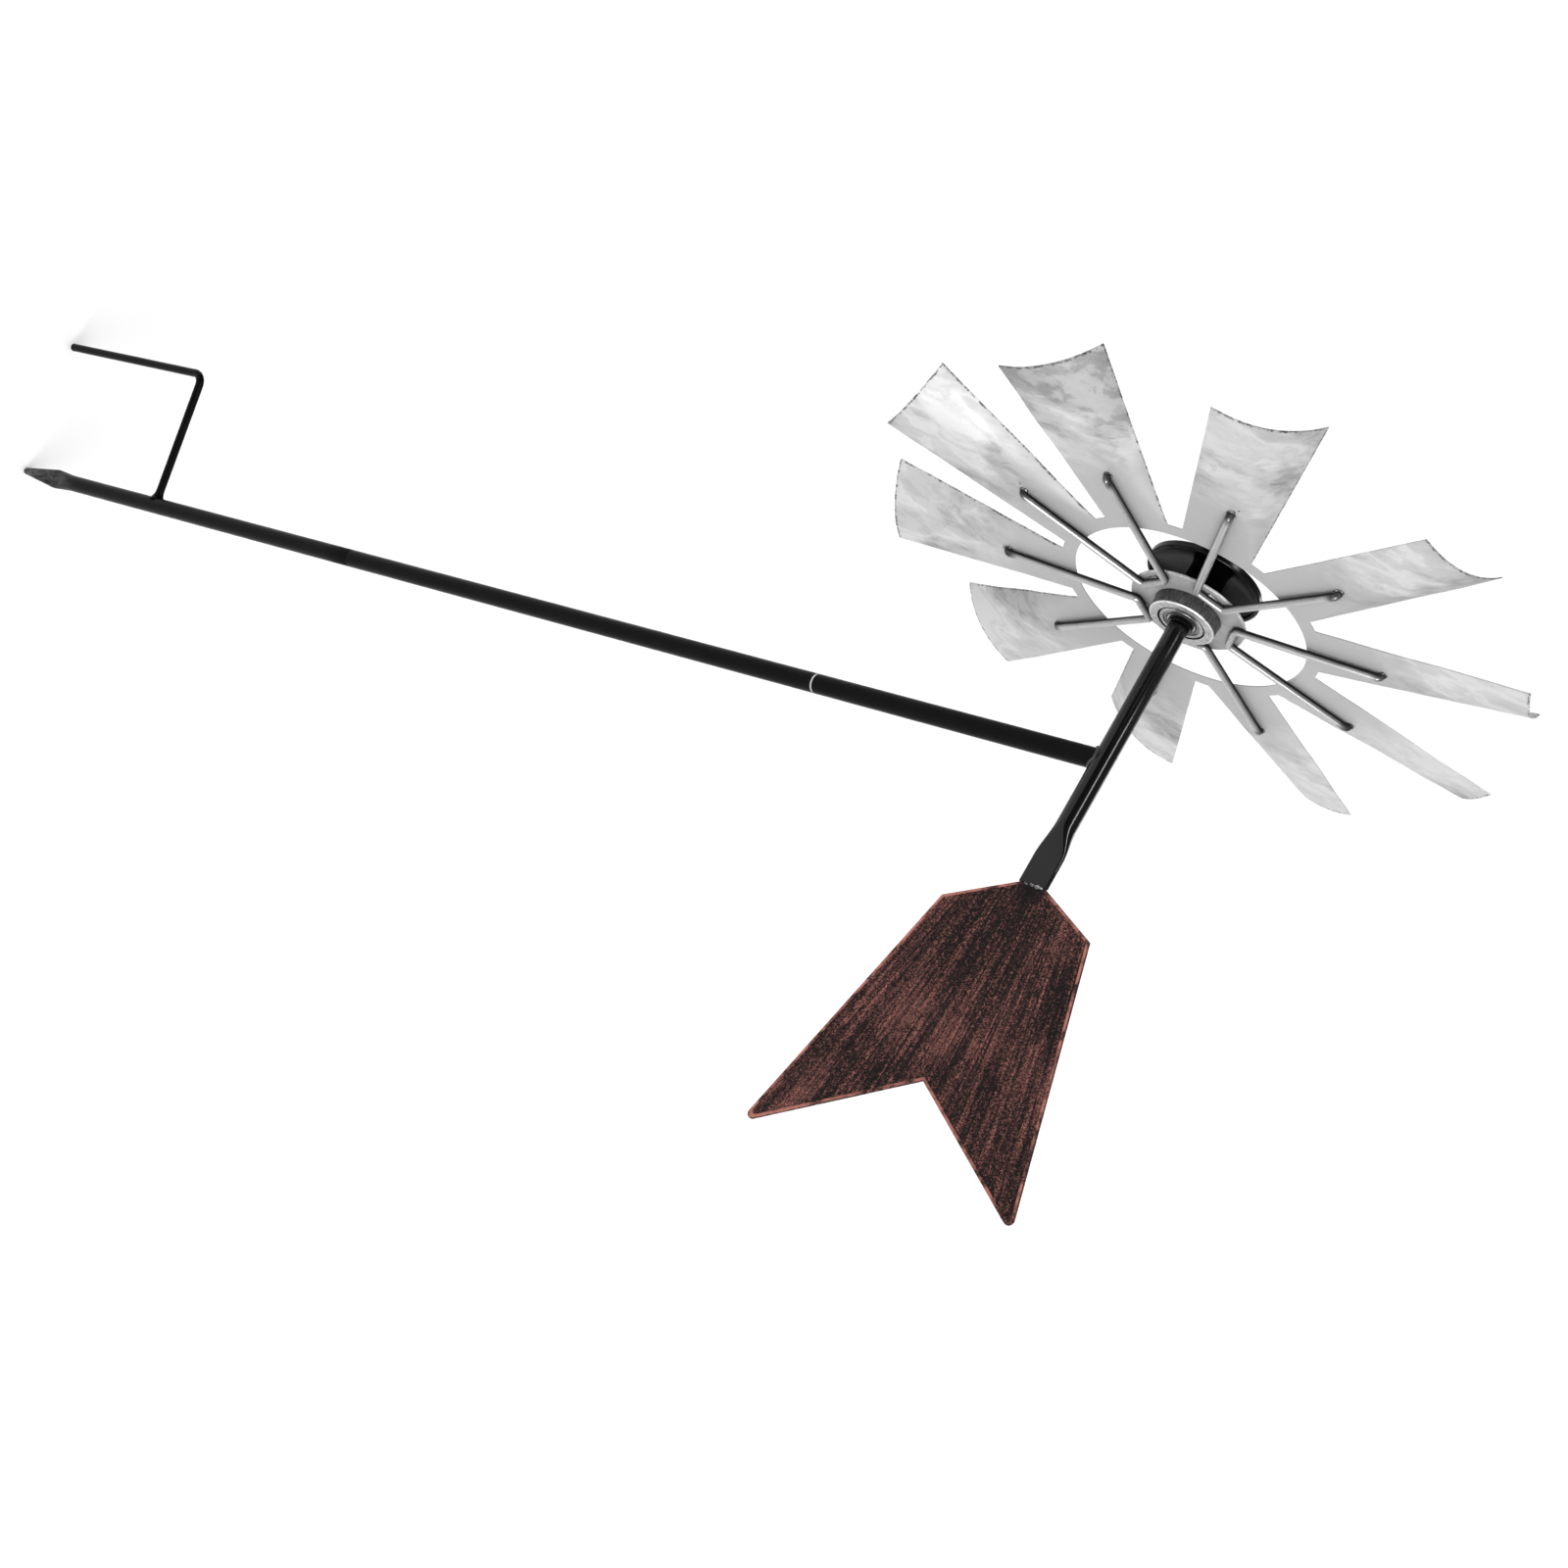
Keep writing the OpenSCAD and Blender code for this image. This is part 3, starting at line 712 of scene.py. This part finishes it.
class Look:
    """One procedural material. Its methods add nodes and hand back their outputs."""

    def __init__(self, name, **sockets):
        self.material = bpy.data.materials.new(name)
        self.material.use_nodes = True
        self.tree = self.material.node_tree
        self.shader = self.tree.nodes["Principled BSDF"]
        for socket, value in sockets.items():
            self.shader.inputs[socket.replace("_", " ")].default_value = value
        self.place = self.add("TexCoord").outputs["Object"]
        self.normal = None

    def add(self, kind, inputs=(), **settings):
        node = self.tree.nodes.new("ShaderNode" + kind)
        for key, value in settings.items():
            setattr(node, key, value)
        for key, value in dict(inputs).items():
            self.put(node.inputs[key], value)
        return node

    def put(self, socket, value):
        if isinstance(value, bpy.types.NodeSocket):
            self.tree.links.new(value, socket)
        else:
            socket.default_value = value

    def set(self, socket, value):
        self.put(self.shader.inputs[socket], value)

    def attribute(self, name):
        return self.add("Attribute", attribute_name=name).outputs["Vector"]

    def stretched(self, scale, turn=(0, 0, 0), shift=(0, 0, 0), where=None):
        inputs = {"Vector": where or self.place, "Scale": scale, "Rotation": turn, "Location": shift}
        return self.add("Mapping", inputs).outputs["Vector"]

    def noise(self, scale, detail=4.0, roughness=0.5, distortion=0.0, where=None):
        inputs = {"Vector": where or self.place, "Scale": scale, "Detail": detail, "Roughness": roughness,
                  "Distortion": distortion}
        return self.add("TexNoise", inputs).outputs["Fac"]

    def cells(self, scale):
        """A colour drawn at random for each cell of a pattern of cells."""
        return self.add("TexVoronoi", {"Vector": self.place, "Scale": scale}).outputs["Color"]

    def math(self, operation, a, b=0.0, clamp=False):
        node = self.add("Math", operation=operation, use_clamp=clamp)
        self.put(node.inputs[0], a)
        self.put(node.inputs[1], b)
        return node.outputs[0]

    def steps(self, value, *stops):
        """A colour or grey that changes with a value. Stops are (place, colour or grey)."""
        node = self.add("ValToRGB", {"Fac": value})
        band = node.color_ramp
        while len(band.elements) < len(stops):
            band.elements.new(0.5)
        for element, (position, tone) in zip(band.elements, stops):
            element.position = position
            element.color = (tone, tone, tone, 1) if isinstance(tone, (int, float)) else (*tone, 1)
        return node.outputs["Color"]

    def span(self, value, low, high, to_low=0.0, to_high=1.0):
        """A value mapped from one range to another and held at its ends."""
        inputs = {"Value": value, "From Min": low, "From Max": high, "To Min": to_low, "To Max": to_high}
        return self.add("MapRange", inputs, clamp=True).outputs["Result"]

    def mix(self, share, a, b):
        """A blend of two colours or greys."""
        node = self.add("Mix", data_type="RGBA")
        self.put(node.inputs["Factor"], share)
        for socket, value in ((node.inputs[6], a), (node.inputs[7], b)):
            if isinstance(value, (int, float)):
                value = (value, value, value)
            self.put(socket, (*value, 1) if isinstance(value, tuple) else value)
        return node.outputs[2]

    def split(self, vector):
        node = self.add("SeparateXYZ", {"Vector": vector})
        return [node.outputs[i] for i in range(3)]

    def join(self, x, y, z):
        return self.add("CombineXYZ", {"X": x, "Y": y, "Z": z}).outputs["Vector"]

    def bump(self, height, strength, distance):
        """Adds relief on top of any that is there. Distance is in metres."""
        inputs = {"Height": height, "Strength": strength, "Distance": distance}
        if self.normal is not None:
            inputs["Normal"] = self.normal
        self.normal = self.add("Bump", inputs).outputs["Normal"]
        self.set("Normal", self.normal)


def black_paint(name, tone, shine, streak=(1, 1, 0.08), level=0.36, haze=0.0):
    """Powder coat: near black, with orange peel, faint dust and rubbed streaks along a tube."""
    look = Look(name, IOR=1.4, Specular_IOR_Level=level, Sheen_Weight=haze, Sheen_Roughness=0.12)
    large = look.noise(35, 5, 0.55)
    rub = look.noise(420, 4, 0.6, where=look.stretched(streak))
    dust = look.noise(2600, 3, 0.6)
    base = look.mix(look.span(large, 0.35, 0.7), tone * 0.8, tone * 1.25)
    base = look.mix(look.span(rub, 0.6, 0.85, 0, 0.25), base, tone * 3 + 0.006)
    base = look.mix(look.span(dust, 0.7, 0.8, 0, 0.15), base, 0.05)
    look.set("Base Color", base)
    rough = look.span(large, 0.3, 0.75, shine - 0.05, shine + 0.07)
    look.set("Roughness", look.math("ADD", rough, look.span(rub, 0.45, 0.8, 0, 0.08)))
    look.bump(look.noise(1500, 2, 0.5), 0.25, 0.00006)
    look.bump(rub, 0.08, 0.00004)
    return look


def spike_paint():
    """The pole's paint, rubbed to grey where the point goes into the soil."""
    look = black_paint("pole_spike_paint", 0.002, 0.30, level=0.10, haze=0.08)
    height = look.split(look.place)[2]
    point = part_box("pole_lower")[0].z
    near_tip = look.span(height, point + 0.015, point + 0.1, 1, 0)
    scuff = look.noise(260, 6, 0.7, 0.6, look.stretched((1, 1, 0.35)))
    share = look.math("MULTIPLY", near_tip, look.span(scuff, 0.36, 0.66), clamp=True)
    painted = look.shader.inputs["Base Color"].links[0].from_socket
    look.set("Base Color", look.mix(share, painted, (0.11, 0.11, 0.112)))
    return look


def galvanised_sheet():
    """Zinc, clean at the ring and clouded on the outer half of each blade, with sheared, burred edges."""
    look = Look("galvanised_sheet", Metallic=0.3, IOR=1.5)
    radius = hub_radius(look)
    turned = look.stretched((1, 1, 1), turn=(0, 0.48, 0))
    drawn_out = look.stretched((1, 1, 0.5), where=turned)
    warp = look.noise(22, 6, 0.6, 0.8)
    outer = look.span(look.math("ADD", radius, look.math("MULTIPLY", warp, 0.08)), 0.178, 0.235)
    clouds = look.noise(24, 8, 0.52, 0.25, drawn_out)
    smoke = look.noise(17, 10, 0.56, 0.2, look.stretched((1, 1, 1), shift=(0.31, 0.12, 0.4), where=drawn_out))
    flakes = look.noise(85, 9, 0.62, 0.5, drawn_out)
    spangle = look.split(look.cells(190))[0]
    grain = look.noise(1500, 4, 0.7, where=look.stretched((1, 1, 0.5), turn=(0, 0.7, 0)))
    smooth = look.mix(look.span(look.noise(8, 3, 0.5), 0.3, 0.7), 0.31, 0.37)
    frost = look.steps(clouds, (0.40, 0.36), (0.47, 0.43), (0.478, 0.52),
                       (0.53, 0.47), (0.538, 0.40), (0.60, 0.50))
    pale = look.steps(flakes, (0.47, 0.38), (0.51, 0.52))
    frost = look.mix(look.span(flakes, 0.42, 0.58, 0, 0.4), frost, pale)
    dull = look.steps(flakes, (0.46, 0.15), (0.54, 0.27))
    frost = look.mix(look.span(smoke, 0.49, 0.60, 0, 0.85), frost, dull)
    base = look.mix(outer, smooth, frost)
    base = look.mix(look.math("MULTIPLY", outer, look.span(spangle, 0, 1, 0, 0.10)), base, 0.5)
    base = look.mix(look.span(grain, 0.35, 0.75, 0.0, 0.14), base, 0.32)
    to_tip, to_free, _ = look.split(look.attribute("edge_run"))
    broken = look.span(look.noise(330, 5, 0.7, 0.4), 0.47, 0.56)
    ragged = look.math("MULTIPLY", look.noise(700, 3, 0.6), 0.0026)
    tip_line = look.math("LESS_THAN", to_tip, look.math("ADD", ragged, 0.0003))
    free_line = look.math("LESS_THAN", to_free, look.math("ADD", ragged, -0.0001))
    line = look.math("MULTIPLY", look.math("MAXIMUM", tip_line, free_line), broken)
    base = look.mix(look.math("MULTIPLY", line, 0.9), base, 0.02)
    look.set("Base Color", base)
    rough = look.mix(outer, look.span(warp, 0.3, 0.7, 0.52, 0.62), look.span(flakes, 0.35, 0.65, 0.42, 0.6))
    look.set("Roughness", rough)
    look.bump(grain, 0.12, 0.00005)
    look.bump(look.math("MULTIPLY", flakes, outer), 0.25, 0.0001)
    look.bump(look.noise(60, 3, 0.5), 0.12, 0.0006)
    return look


def drawn_wire():
    """Drawn steel, streaked along its length, dark in patches and at its tips. Painted shade darkens the side
    next to the sheet, and a painted highlight lightens the rear side.
    """
    look = Look("drawn_wire_steel", Metallic=0.7, IOR=1.5)
    run = look.attribute("run")
    length = 2 * (TIP_R - BASE_R) + 2 * BASE_R * math.sin(BLADE_STEP / 2)
    along = look.split(run)[2]
    to_end = look.math("MINIMUM", along, look.math("SUBTRACT", length, along))
    to_base = look.math("ABSOLUTE", look.math("SUBTRACT", along, length / 2))
    streak = look.noise(900, 5, 0.65, where=look.stretched((1, 1, 0.05), where=run))
    patch = look.noise(70, 7, 0.65, 0.5, where=look.stretched((1, 1, 0.6), where=run))
    pits = look.noise(1300, 3, 0.7)
    base = look.mix(look.span(streak, 0.3, 0.72), 0.11, 0.34)
    base = look.mix(look.span(patch, 0.5, 0.66, 0, 0.7), base, 0.07)
    rearward = look.split(look.add("NewGeometry").outputs["Normal"])[1]  # world axes: right at rest only
    # How far the surface faces rearward, away from the sheet, shifted a little by patches; it drives the
    # painted highlight and the painted shade below.
    rear_light_measure = look.math("ADD", rearward, look.math("MULTIPLY", look.span(patch, 0.3, 0.7, -0.5, 0.5), 0.25))
    # Painted highlight: the rear-facing side of the wire is lightened.
    base = look.mix(look.span(rear_light_measure, 0.45, 0.85, 0, 0.6), base, 0.55)
    # Painted shade: the side of the wire that faces the sheet is darkened almost to black.
    sheet_side_shade = look.span(rear_light_measure, 0.02, 0.34, 0.97, 0)
    base = look.mix(sheet_side_shade, base, 0.008)
    worn = look.math("MULTIPLY", look.span(to_base, 0.010, 0.022, 1, 0), look.span(pits, 0.45, 0.6))
    base = look.mix(look.math("MULTIPLY", worn, 0.5), base, 0.07)
    scale = look.math("MULTIPLY", look.span(to_end, 0.003, 0.010, 1, 0), look.span(patch, 0.35, 0.5, 0.5, 1))
    base = look.mix(scale, base, 0.025)
    base = look.mix(look.span(pits, 0.64, 0.72, 0, 0.85), base, 0.03)
    look.set("Base Color", base)
    look.set("Roughness", look.mix(sheet_side_shade, look.span(streak, 0.3, 0.7, 0.4, 0.24), 0.7))
    look.bump(streak, 0.35, 0.00012)
    look.bump(pits, 0.25, 0.0001)
    return look


def hub_radius(look):
    """Distance from the wheel's axis."""
    x, _, z = look.split(look.place)
    flat = look.join(x, 0.0, look.math("SUBTRACT", z, HUB_Z))
    return look.add("VectorMath", {0: flat}, operation="LENGTH").outputs["Value"]


def turned_steel():
    """Turned steel of the bearing's boss: marks along the axis on its side, a rough bright face with a
    painted highlight at its rim, and painted shade down in the relief groove.
    """
    look = Look("turned_boss_steel", Metallic=0.6, IOR=1.5)
    x, y, z = look.split(look.place)
    z = look.math("SUBTRACT", z, HUB_Z)
    turn = look.math("ARCTAN2", z, x)
    radius = hub_radius(look)
    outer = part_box("bearing_housing")[1].x
    marks = look.noise(48, 6, 0.8, where=look.join(turn, look.math("MULTIPLY", y, 2.2), 0.0))
    side = look.steps(marks, (0.35, 0.035), (0.52, 0.08), (0.60, 0.20), (0.74, 0.42))
    blotch = look.noise(420, 7, 0.7, 0.8)
    face = look.steps(blotch, (0.3, 0.14), (0.45, 0.30), (0.6, 0.42))
    # Painted highlight: a bright band at the face's outer rim, broken by blotches.
    rim = look.span(radius, outer - 0.0016, outer - 0.0009)
    rim = look.math("MULTIPLY", rim, look.span(blotch, 0.35, 0.5))
    face = look.mix(rim, face, 0.7)
    normal = look.add("NewGeometry").outputs["True Normal"]  # world axes: right at rest only
    facing = look.math("ABSOLUTE", look.split(normal)[1])
    base = look.mix(look.span(facing, 0.4, 0.8), side, face)
    # Painted shade: everything inside the relief groove's radius is painted near black.
    relief_groove_shade = look.math("LESS_THAN", radius, RELIEF_R + 0.0001)
    look.set("Base Color", look.mix(relief_groove_shade, base, 0.008))
    look.set("Roughness", look.span(blotch, 0.3, 0.7, 0.34, 0.5))
    look.bump(marks, 0.35, 0.0002)
    look.bump(blotch, 0.3, 0.00015)
    return look


def plate_zinc():
    """Matte zinc of the hub plate, with a painted highlight at its rim and painted shade in the corner at the
    boss.
    """
    look = grey_steel("plate_matte_zinc", 0.22, 0.31, 0.3, 0.46, 200)
    radius = hub_radius(look)
    rim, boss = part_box("hub_plate")[1].x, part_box("bearing_housing")[1].x
    ragged = look.math("MULTIPLY", look.noise(260, 4, 0.6), 0.0009)
    base = look.shader.inputs["Base Color"].links[0].from_socket
    # Painted highlight: a bright ragged band just inside the plate's rim.
    bright = look.span(look.math("ADD", radius, ragged), rim - 0.0006, rim - 0.0002, 0, 0.8)
    base = look.mix(bright, base, look.steps(look.noise(240, 5, 0.7), (0.40, 0.30), (0.58, 0.55)))
    # Painted shade: a dark ring in the corner at the foot of the boss.
    corner = look.span(look.math("ADD", radius, ragged), boss + 0.0006, boss + 0.0014, 1, 0)
    look.set("Base Color", look.mix(corner, base, 0.012))
    return look


def grey_steel(name, low, high, metallic=0.7, rough=0.4, scale=300):
    """Plain zinc-grey steel with blotches, fine scratches and pits."""
    look = Look(name, Metallic=metallic, IOR=1.5)
    blotch = look.noise(scale * 0.25, 6, 0.6, 0.6)
    fine = look.noise(scale * 5, 4, 0.7, where=look.stretched((1, 0.3, 1)))
    base = look.mix(look.span(blotch, 0.32, 0.7), low, high)
    base = look.mix(look.span(fine, 0.55, 0.8, 0, 0.35), base, low * 0.5)
    look.set("Base Color", base)
    look.set("Roughness", look.span(blotch, 0.3, 0.7, rough + 0.08, rough - 0.06))
    look.bump(fine, 0.2, 0.00006)
    look.bump(blotch, 0.15, 0.0002)
    return look


def weld_metal(name, low, high, metallic):
    """A bead's mixed dull and bright metal."""
    look = Look(name, Metallic=metallic, IOR=1.5)
    patch = look.noise(450, 6, 0.7, 1.0)
    base = look.steps(patch, (0.35, low * 0.4), (0.5, low), (0.62, high), (0.75, low * 0.6))
    look.set("Base Color", base)
    look.set("Roughness", look.span(patch, 0.3, 0.7, 0.5, 0.24))
    look.bump(look.noise(1400, 4, 0.6), 0.4, 0.00025)
    return look


def brushed_bronze():
    """Black hammered paint, dry brushed with copper rose in strokes that fan out to the tips."""
    look = Look("tail_brushed_bronze", IOR=1.45, Specular_IOR_Level=0.12)
    x, y, z = look.split(look.place)
    z = look.math("SUBTRACT", z, HUB_Z)
    widen = (TAIL_TIP_HALF - SHOULDER_HALF) / (TAIL_TIP_Y - SHOULDER_Y)
    half = look.math("ADD", look.math("MULTIPLY", y, widen), SHOULDER_HALF - SHOULDER_Y * widen)
    across = look.math("MULTIPLY", look.math("DIVIDE", z, half), 0.09)
    strokes = look.noise(420, 5, 0.7, 0.1, look.join(across, look.math("MULTIPLY", y, 0.035), x))
    broad = look.noise(60, 4, 0.55, 0.3, look.join(across, look.math("MULTIPLY", y, 0.12), x))
    zones = look.noise(11, 4, 0.5, 0.5)
    hammer = look.noise(700, 4, 0.7, 0.4)
    speck = look.noise(1100, 3, 0.7, 0.6)
    amount = look.math("ADD", look.math("MULTIPLY", strokes, 0.40), look.math("MULTIPLY", broad, 0.3))
    amount = look.math("ADD", amount, look.math("MULTIPLY", zones, 0.35))
    amount = look.math("ADD", amount, look.math("MULTIPLY", hammer, 1.0))
    copper = look.span(amount, 0.98, 1.12, 0.0, 0.95)
    dark = look.mix(look.span(speck, 0.4, 0.62), 0.002, (0.028, 0.019, 0.019))
    rose = look.mix(look.span(strokes, 0.42, 0.66), (0.12, 0.056, 0.052), (0.44, 0.17, 0.140))
    base = look.mix(copper, dark, rose)
    base = look.mix(look.span(speck, 0.47, 0.54, 0, 0.9), base, (0.003, 0.0025, 0.003))
    ridge = look.span(look.math("ABSOLUTE", x), 0.00095, 0.00114)
    ridge = look.math("MULTIPLY", ridge, look.span(look.noise(55, 7, 0.65, 0.4), 0.42, 0.56, 0.05, 0.95))
    base = look.mix(ridge, base, (0.46, 0.18, 0.14))
    ragged = look.math("MULTIPLY", look.noise(180, 4, 0.6), 0.024)
    from_neck = look.math("ADD", look.math("ADD", y, ragged), look.math("ABSOLUTE", z))
    base = look.mix(look.span(from_neck, 0.130, 0.147, 0.95, 0), base, 0.004)
    look.set("Base Color", base)
    look.set("Metallic", look.math("MULTIPLY", copper, 0.15))
    look.set("Roughness", look.span(amount, 0.9, 1.2, 0.55, 0.42))
    look.bump(hammer, 0.5, 0.0002)
    look.bump(strokes, 0.3, 0.0001)
    return look


def dress():
    """Gives every shown piece its material."""
    satin = black_paint("pole_satin_black", 0.002, 0.30, level=0.10, haze=0.06)
    spike = spike_paint()
    gloss = black_paint("head_gloss_black", 0.002, 0.12, (1, 0.08, 1), 0.5)
    cap_gloss = black_paint("cap_gloss_black", 0.002, 0.18, (1, 1, 1), 0.26)
    bright = grey_steel("bright_zinc", 0.5, 0.75, 0.9, 0.24)
    races = grey_steel("bearing_race_steel", 0.22, 0.42, 0.9, 0.26, 500)
    shields = grey_steel("shield_pressed_steel", 0.12, 0.26, 0.9, 0.36, 500)
    looks = {
        "wind_wheel_sheet": galvanised_sheet(),
        "spoke_tack_welds": weld_metal("tack_weld_metal", 0.10, 0.42, 0.7),
        "hub_weld_beads": weld_metal("bead_weld_metal", 0.14, 0.45, 0.6),
        "tail_weld_drops": weld_metal("tail_weld_metal", 0.12, 0.62, 0.8),
        "hub_plate_disc": plate_zinc(),
        "bearing_housing_turned": turned_steel(),
        "bearing_shield_pressed": shields, "bearing_shield_front": shields,
        "bearing_inner_race": races, "bearing_outer_race": races, "bearing_balls": bright,
        "bearing_cage": grey_steel("cage_phosphated_steel", 0.015, 0.05, 0.4, 0.5, 400),
        "axle_nut": bright, "axle_washer": bright, "swivel_washer": bright, "pole_connector": bright,
        "swivel_pin": races,
        "hub_cap": cap_gloss, "hub_neck": cap_gloss,
        "head_tube_pressed": gloss, "head_post_coped": satin, "axle_shaft": gloss,
        "post_weld_bead": weld_metal("painted_weld", 0.02, 0.035, 0),
        "prong_weld_bead": satin,
        "pole_lower_pressed": spike, "pole_middle": satin, "foot_prong": satin,
        "tail_vane_pressed": brushed_bronze(),
    }
    wire = drawn_wire()
    for pair in range(BLADES // 2):
        looks[f"spoke_wire_{pair + 1}_bent"] = wire
    for name, look in looks.items():
        obj = bpy.data.objects[name]
        obj.data.materials.clear()
        obj.data.materials.append(look.material)


# Stage ----------------------------------------------------------------------

def camera():
    """The camera, aimed past the pole at a point under the hub and rolled so that the pole lies down."""
    azimuth, elevation, roll = map(math.radians, (113.910, 36.323, -106.944))
    aim = Vector((0, 0.09028, HUB_Z - 0.23862))
    distance, lens = 1.80916, 54.434
    back = Vector((math.sin(azimuth) * math.cos(elevation), -math.cos(azimuth) * math.cos(elevation),
                   math.sin(elevation)))
    level_up = (Vector((0, 0, 1)) - back * back.z).normalized()
    level_right = level_up.cross(back)
    up = level_up * math.cos(roll) + level_right * math.sin(roll)
    right = up.cross(back)
    data = bpy.data.cameras.new("camera")
    data.lens = lens
    data.sensor_width = 36
    data.clip_start = 0.05
    obj = bpy.data.objects.new("camera", data)
    bpy.context.scene.collection.objects.link(obj)
    axes = Matrix((right, up, back)).transposed().to_4x4()
    obj.matrix_world = Matrix.Translation(aim + back * distance) @ axes
    bpy.context.scene.camera = obj


def area_light(name, way, distance, size, power, target, along=(0, 0, 1)):
    """A softbox: way points from the target to the light, along is its long side's direction."""
    data = bpy.data.lights.new(name, "AREA")
    data.shape = "RECTANGLE"
    data.size, data.size_y = size
    data.energy = power
    obj = bpy.data.objects.new(name, data)
    bpy.context.scene.collection.objects.link(obj)
    way = Vector(way).normalized()
    side = Vector(along).cross(way).normalized()
    axes = Matrix((side, way.cross(side), way)).transposed().to_4x4()
    obj.matrix_world = Matrix.Translation(Vector(target) + way * distance) @ axes
    return obj


def sun(name, way, strength, angle):
    """Even soft light from far away, which no gloss mirrors."""
    data = bpy.data.lights.new(name, "SUN")
    data.energy = strength
    data.angle = math.radians(angle)
    obj = bpy.data.objects.new(name, data)
    bpy.context.scene.collection.objects.link(obj)
    obj.rotation_mode = "QUATERNION"
    obj.rotation_quaternion = Vector(way).normalized().to_track_quat("Z", "Y")
    obj.visible_glossy = False


def surroundings():
    """A studio bright on the tail's side and dark on the wheel's. The camera sees a plain pale backdrop."""
    world = bpy.data.worlds.new("studio")
    world.use_nodes = True
    bpy.context.scene.world = world
    nodes, links = world.node_tree.nodes, world.node_tree.links
    background = nodes["Background"]
    place = nodes.new("ShaderNodeTexCoord")
    toward = nodes.new("ShaderNodeVectorMath")
    toward.operation = "DOT_PRODUCT"
    toward.inputs[1].default_value = (-0.1, 0.93, 0.35)
    tone = nodes.new("ShaderNodeMapRange")
    for socket, value in (("From Min", -0.5), ("From Max", 0.9), ("To Min", 0.05), ("To Max", 0.60)):
        tone.inputs[socket].default_value = value
    links.new(place.outputs["Generated"], toward.inputs[0])
    links.new(toward.outputs["Value"], tone.inputs["Value"])
    links.new(tone.outputs["Result"], background.inputs["Color"])
    background.inputs["Strength"].default_value = 1
    backdrop = nodes.new("ShaderNodeBackground")
    backdrop.inputs["Color"].default_value = (0.86, 0.86, 0.86, 1)
    seen = nodes.new("ShaderNodeLightPath")
    choice = nodes.new("ShaderNodeMixShader")
    links.new(seen.outputs["Is Camera Ray"], choice.inputs[0])
    links.new(background.outputs[0], choice.inputs[1])
    links.new(backdrop.outputs[0], choice.inputs[2])
    links.new(choice.outputs[0], nodes["World Output"].inputs["Surface"])


def lights():
    """Even light from the tail's side and from above, with softboxes that give the highlights."""
    surroundings()
    sun("key", (0.30, 0.80, 0.50), 2.8, 50)
    sun("fill", (-0.1, 0.15, 1.0), 1.3, 90)
    hub = Vector((0, 0, HUB_Z))
    middle = hub + Vector((0, 0, -0.2))
    boxes = [
        area_light("key_box", (0.05, 0.95, 0.30), 2.4, (0.9, 0.4), 45, middle, (1, 0, 0)),
        area_light("tube_strip", (0.34, -0.40, 0.86), 2.2, (0.36, 1.6), 25, hub, (0, 1, 0)),
        area_light("edge_card", (-0.90, -0.35, 0.20), 2.2, (0.5, 1.6), 10, hub, (0, 1, 0)),
    ]
    for box in boxes:
        box.visible_diffuse = False


def floor():
    """A wide plain floor just under the spike's point."""
    half = 40.0
    z = cad_box[0].z - 0.001
    mesh = bpy.data.meshes.new("floor")
    corners = [(-half, -half, z), (half, -half, z), (half, half, z), (-half, half, z)]
    mesh.from_pydata(corners, [], [(0, 1, 2, 3)])
    obj = bpy.data.objects.new("floor", mesh)
    bpy.context.scene.collection.objects.link(obj)
    look = Look("floor_paper", Roughness=0.9)
    look.set("Base Color", look.mix(look.span(look.noise(3, 2), 0.3, 0.7), 0.9, 0.93))
    mesh.materials.append(look.material)


def build():
    wind_wheel()
    for pair in range(BLADES // 2):
        spoke_wire(pair)
    spoke_tacks()
    hub_welds()
    hub_plate()
    bearing_housing()
    bearing_shield()
    head_tube()
    head_post()
    post_weld()
    pole_lower()
    prong_weld()
    tail_vane()
    tail_weld()


build()
dress()
camera()
lights()
floor()
bpy.context.scene.view_settings.view_transform = "Standard"
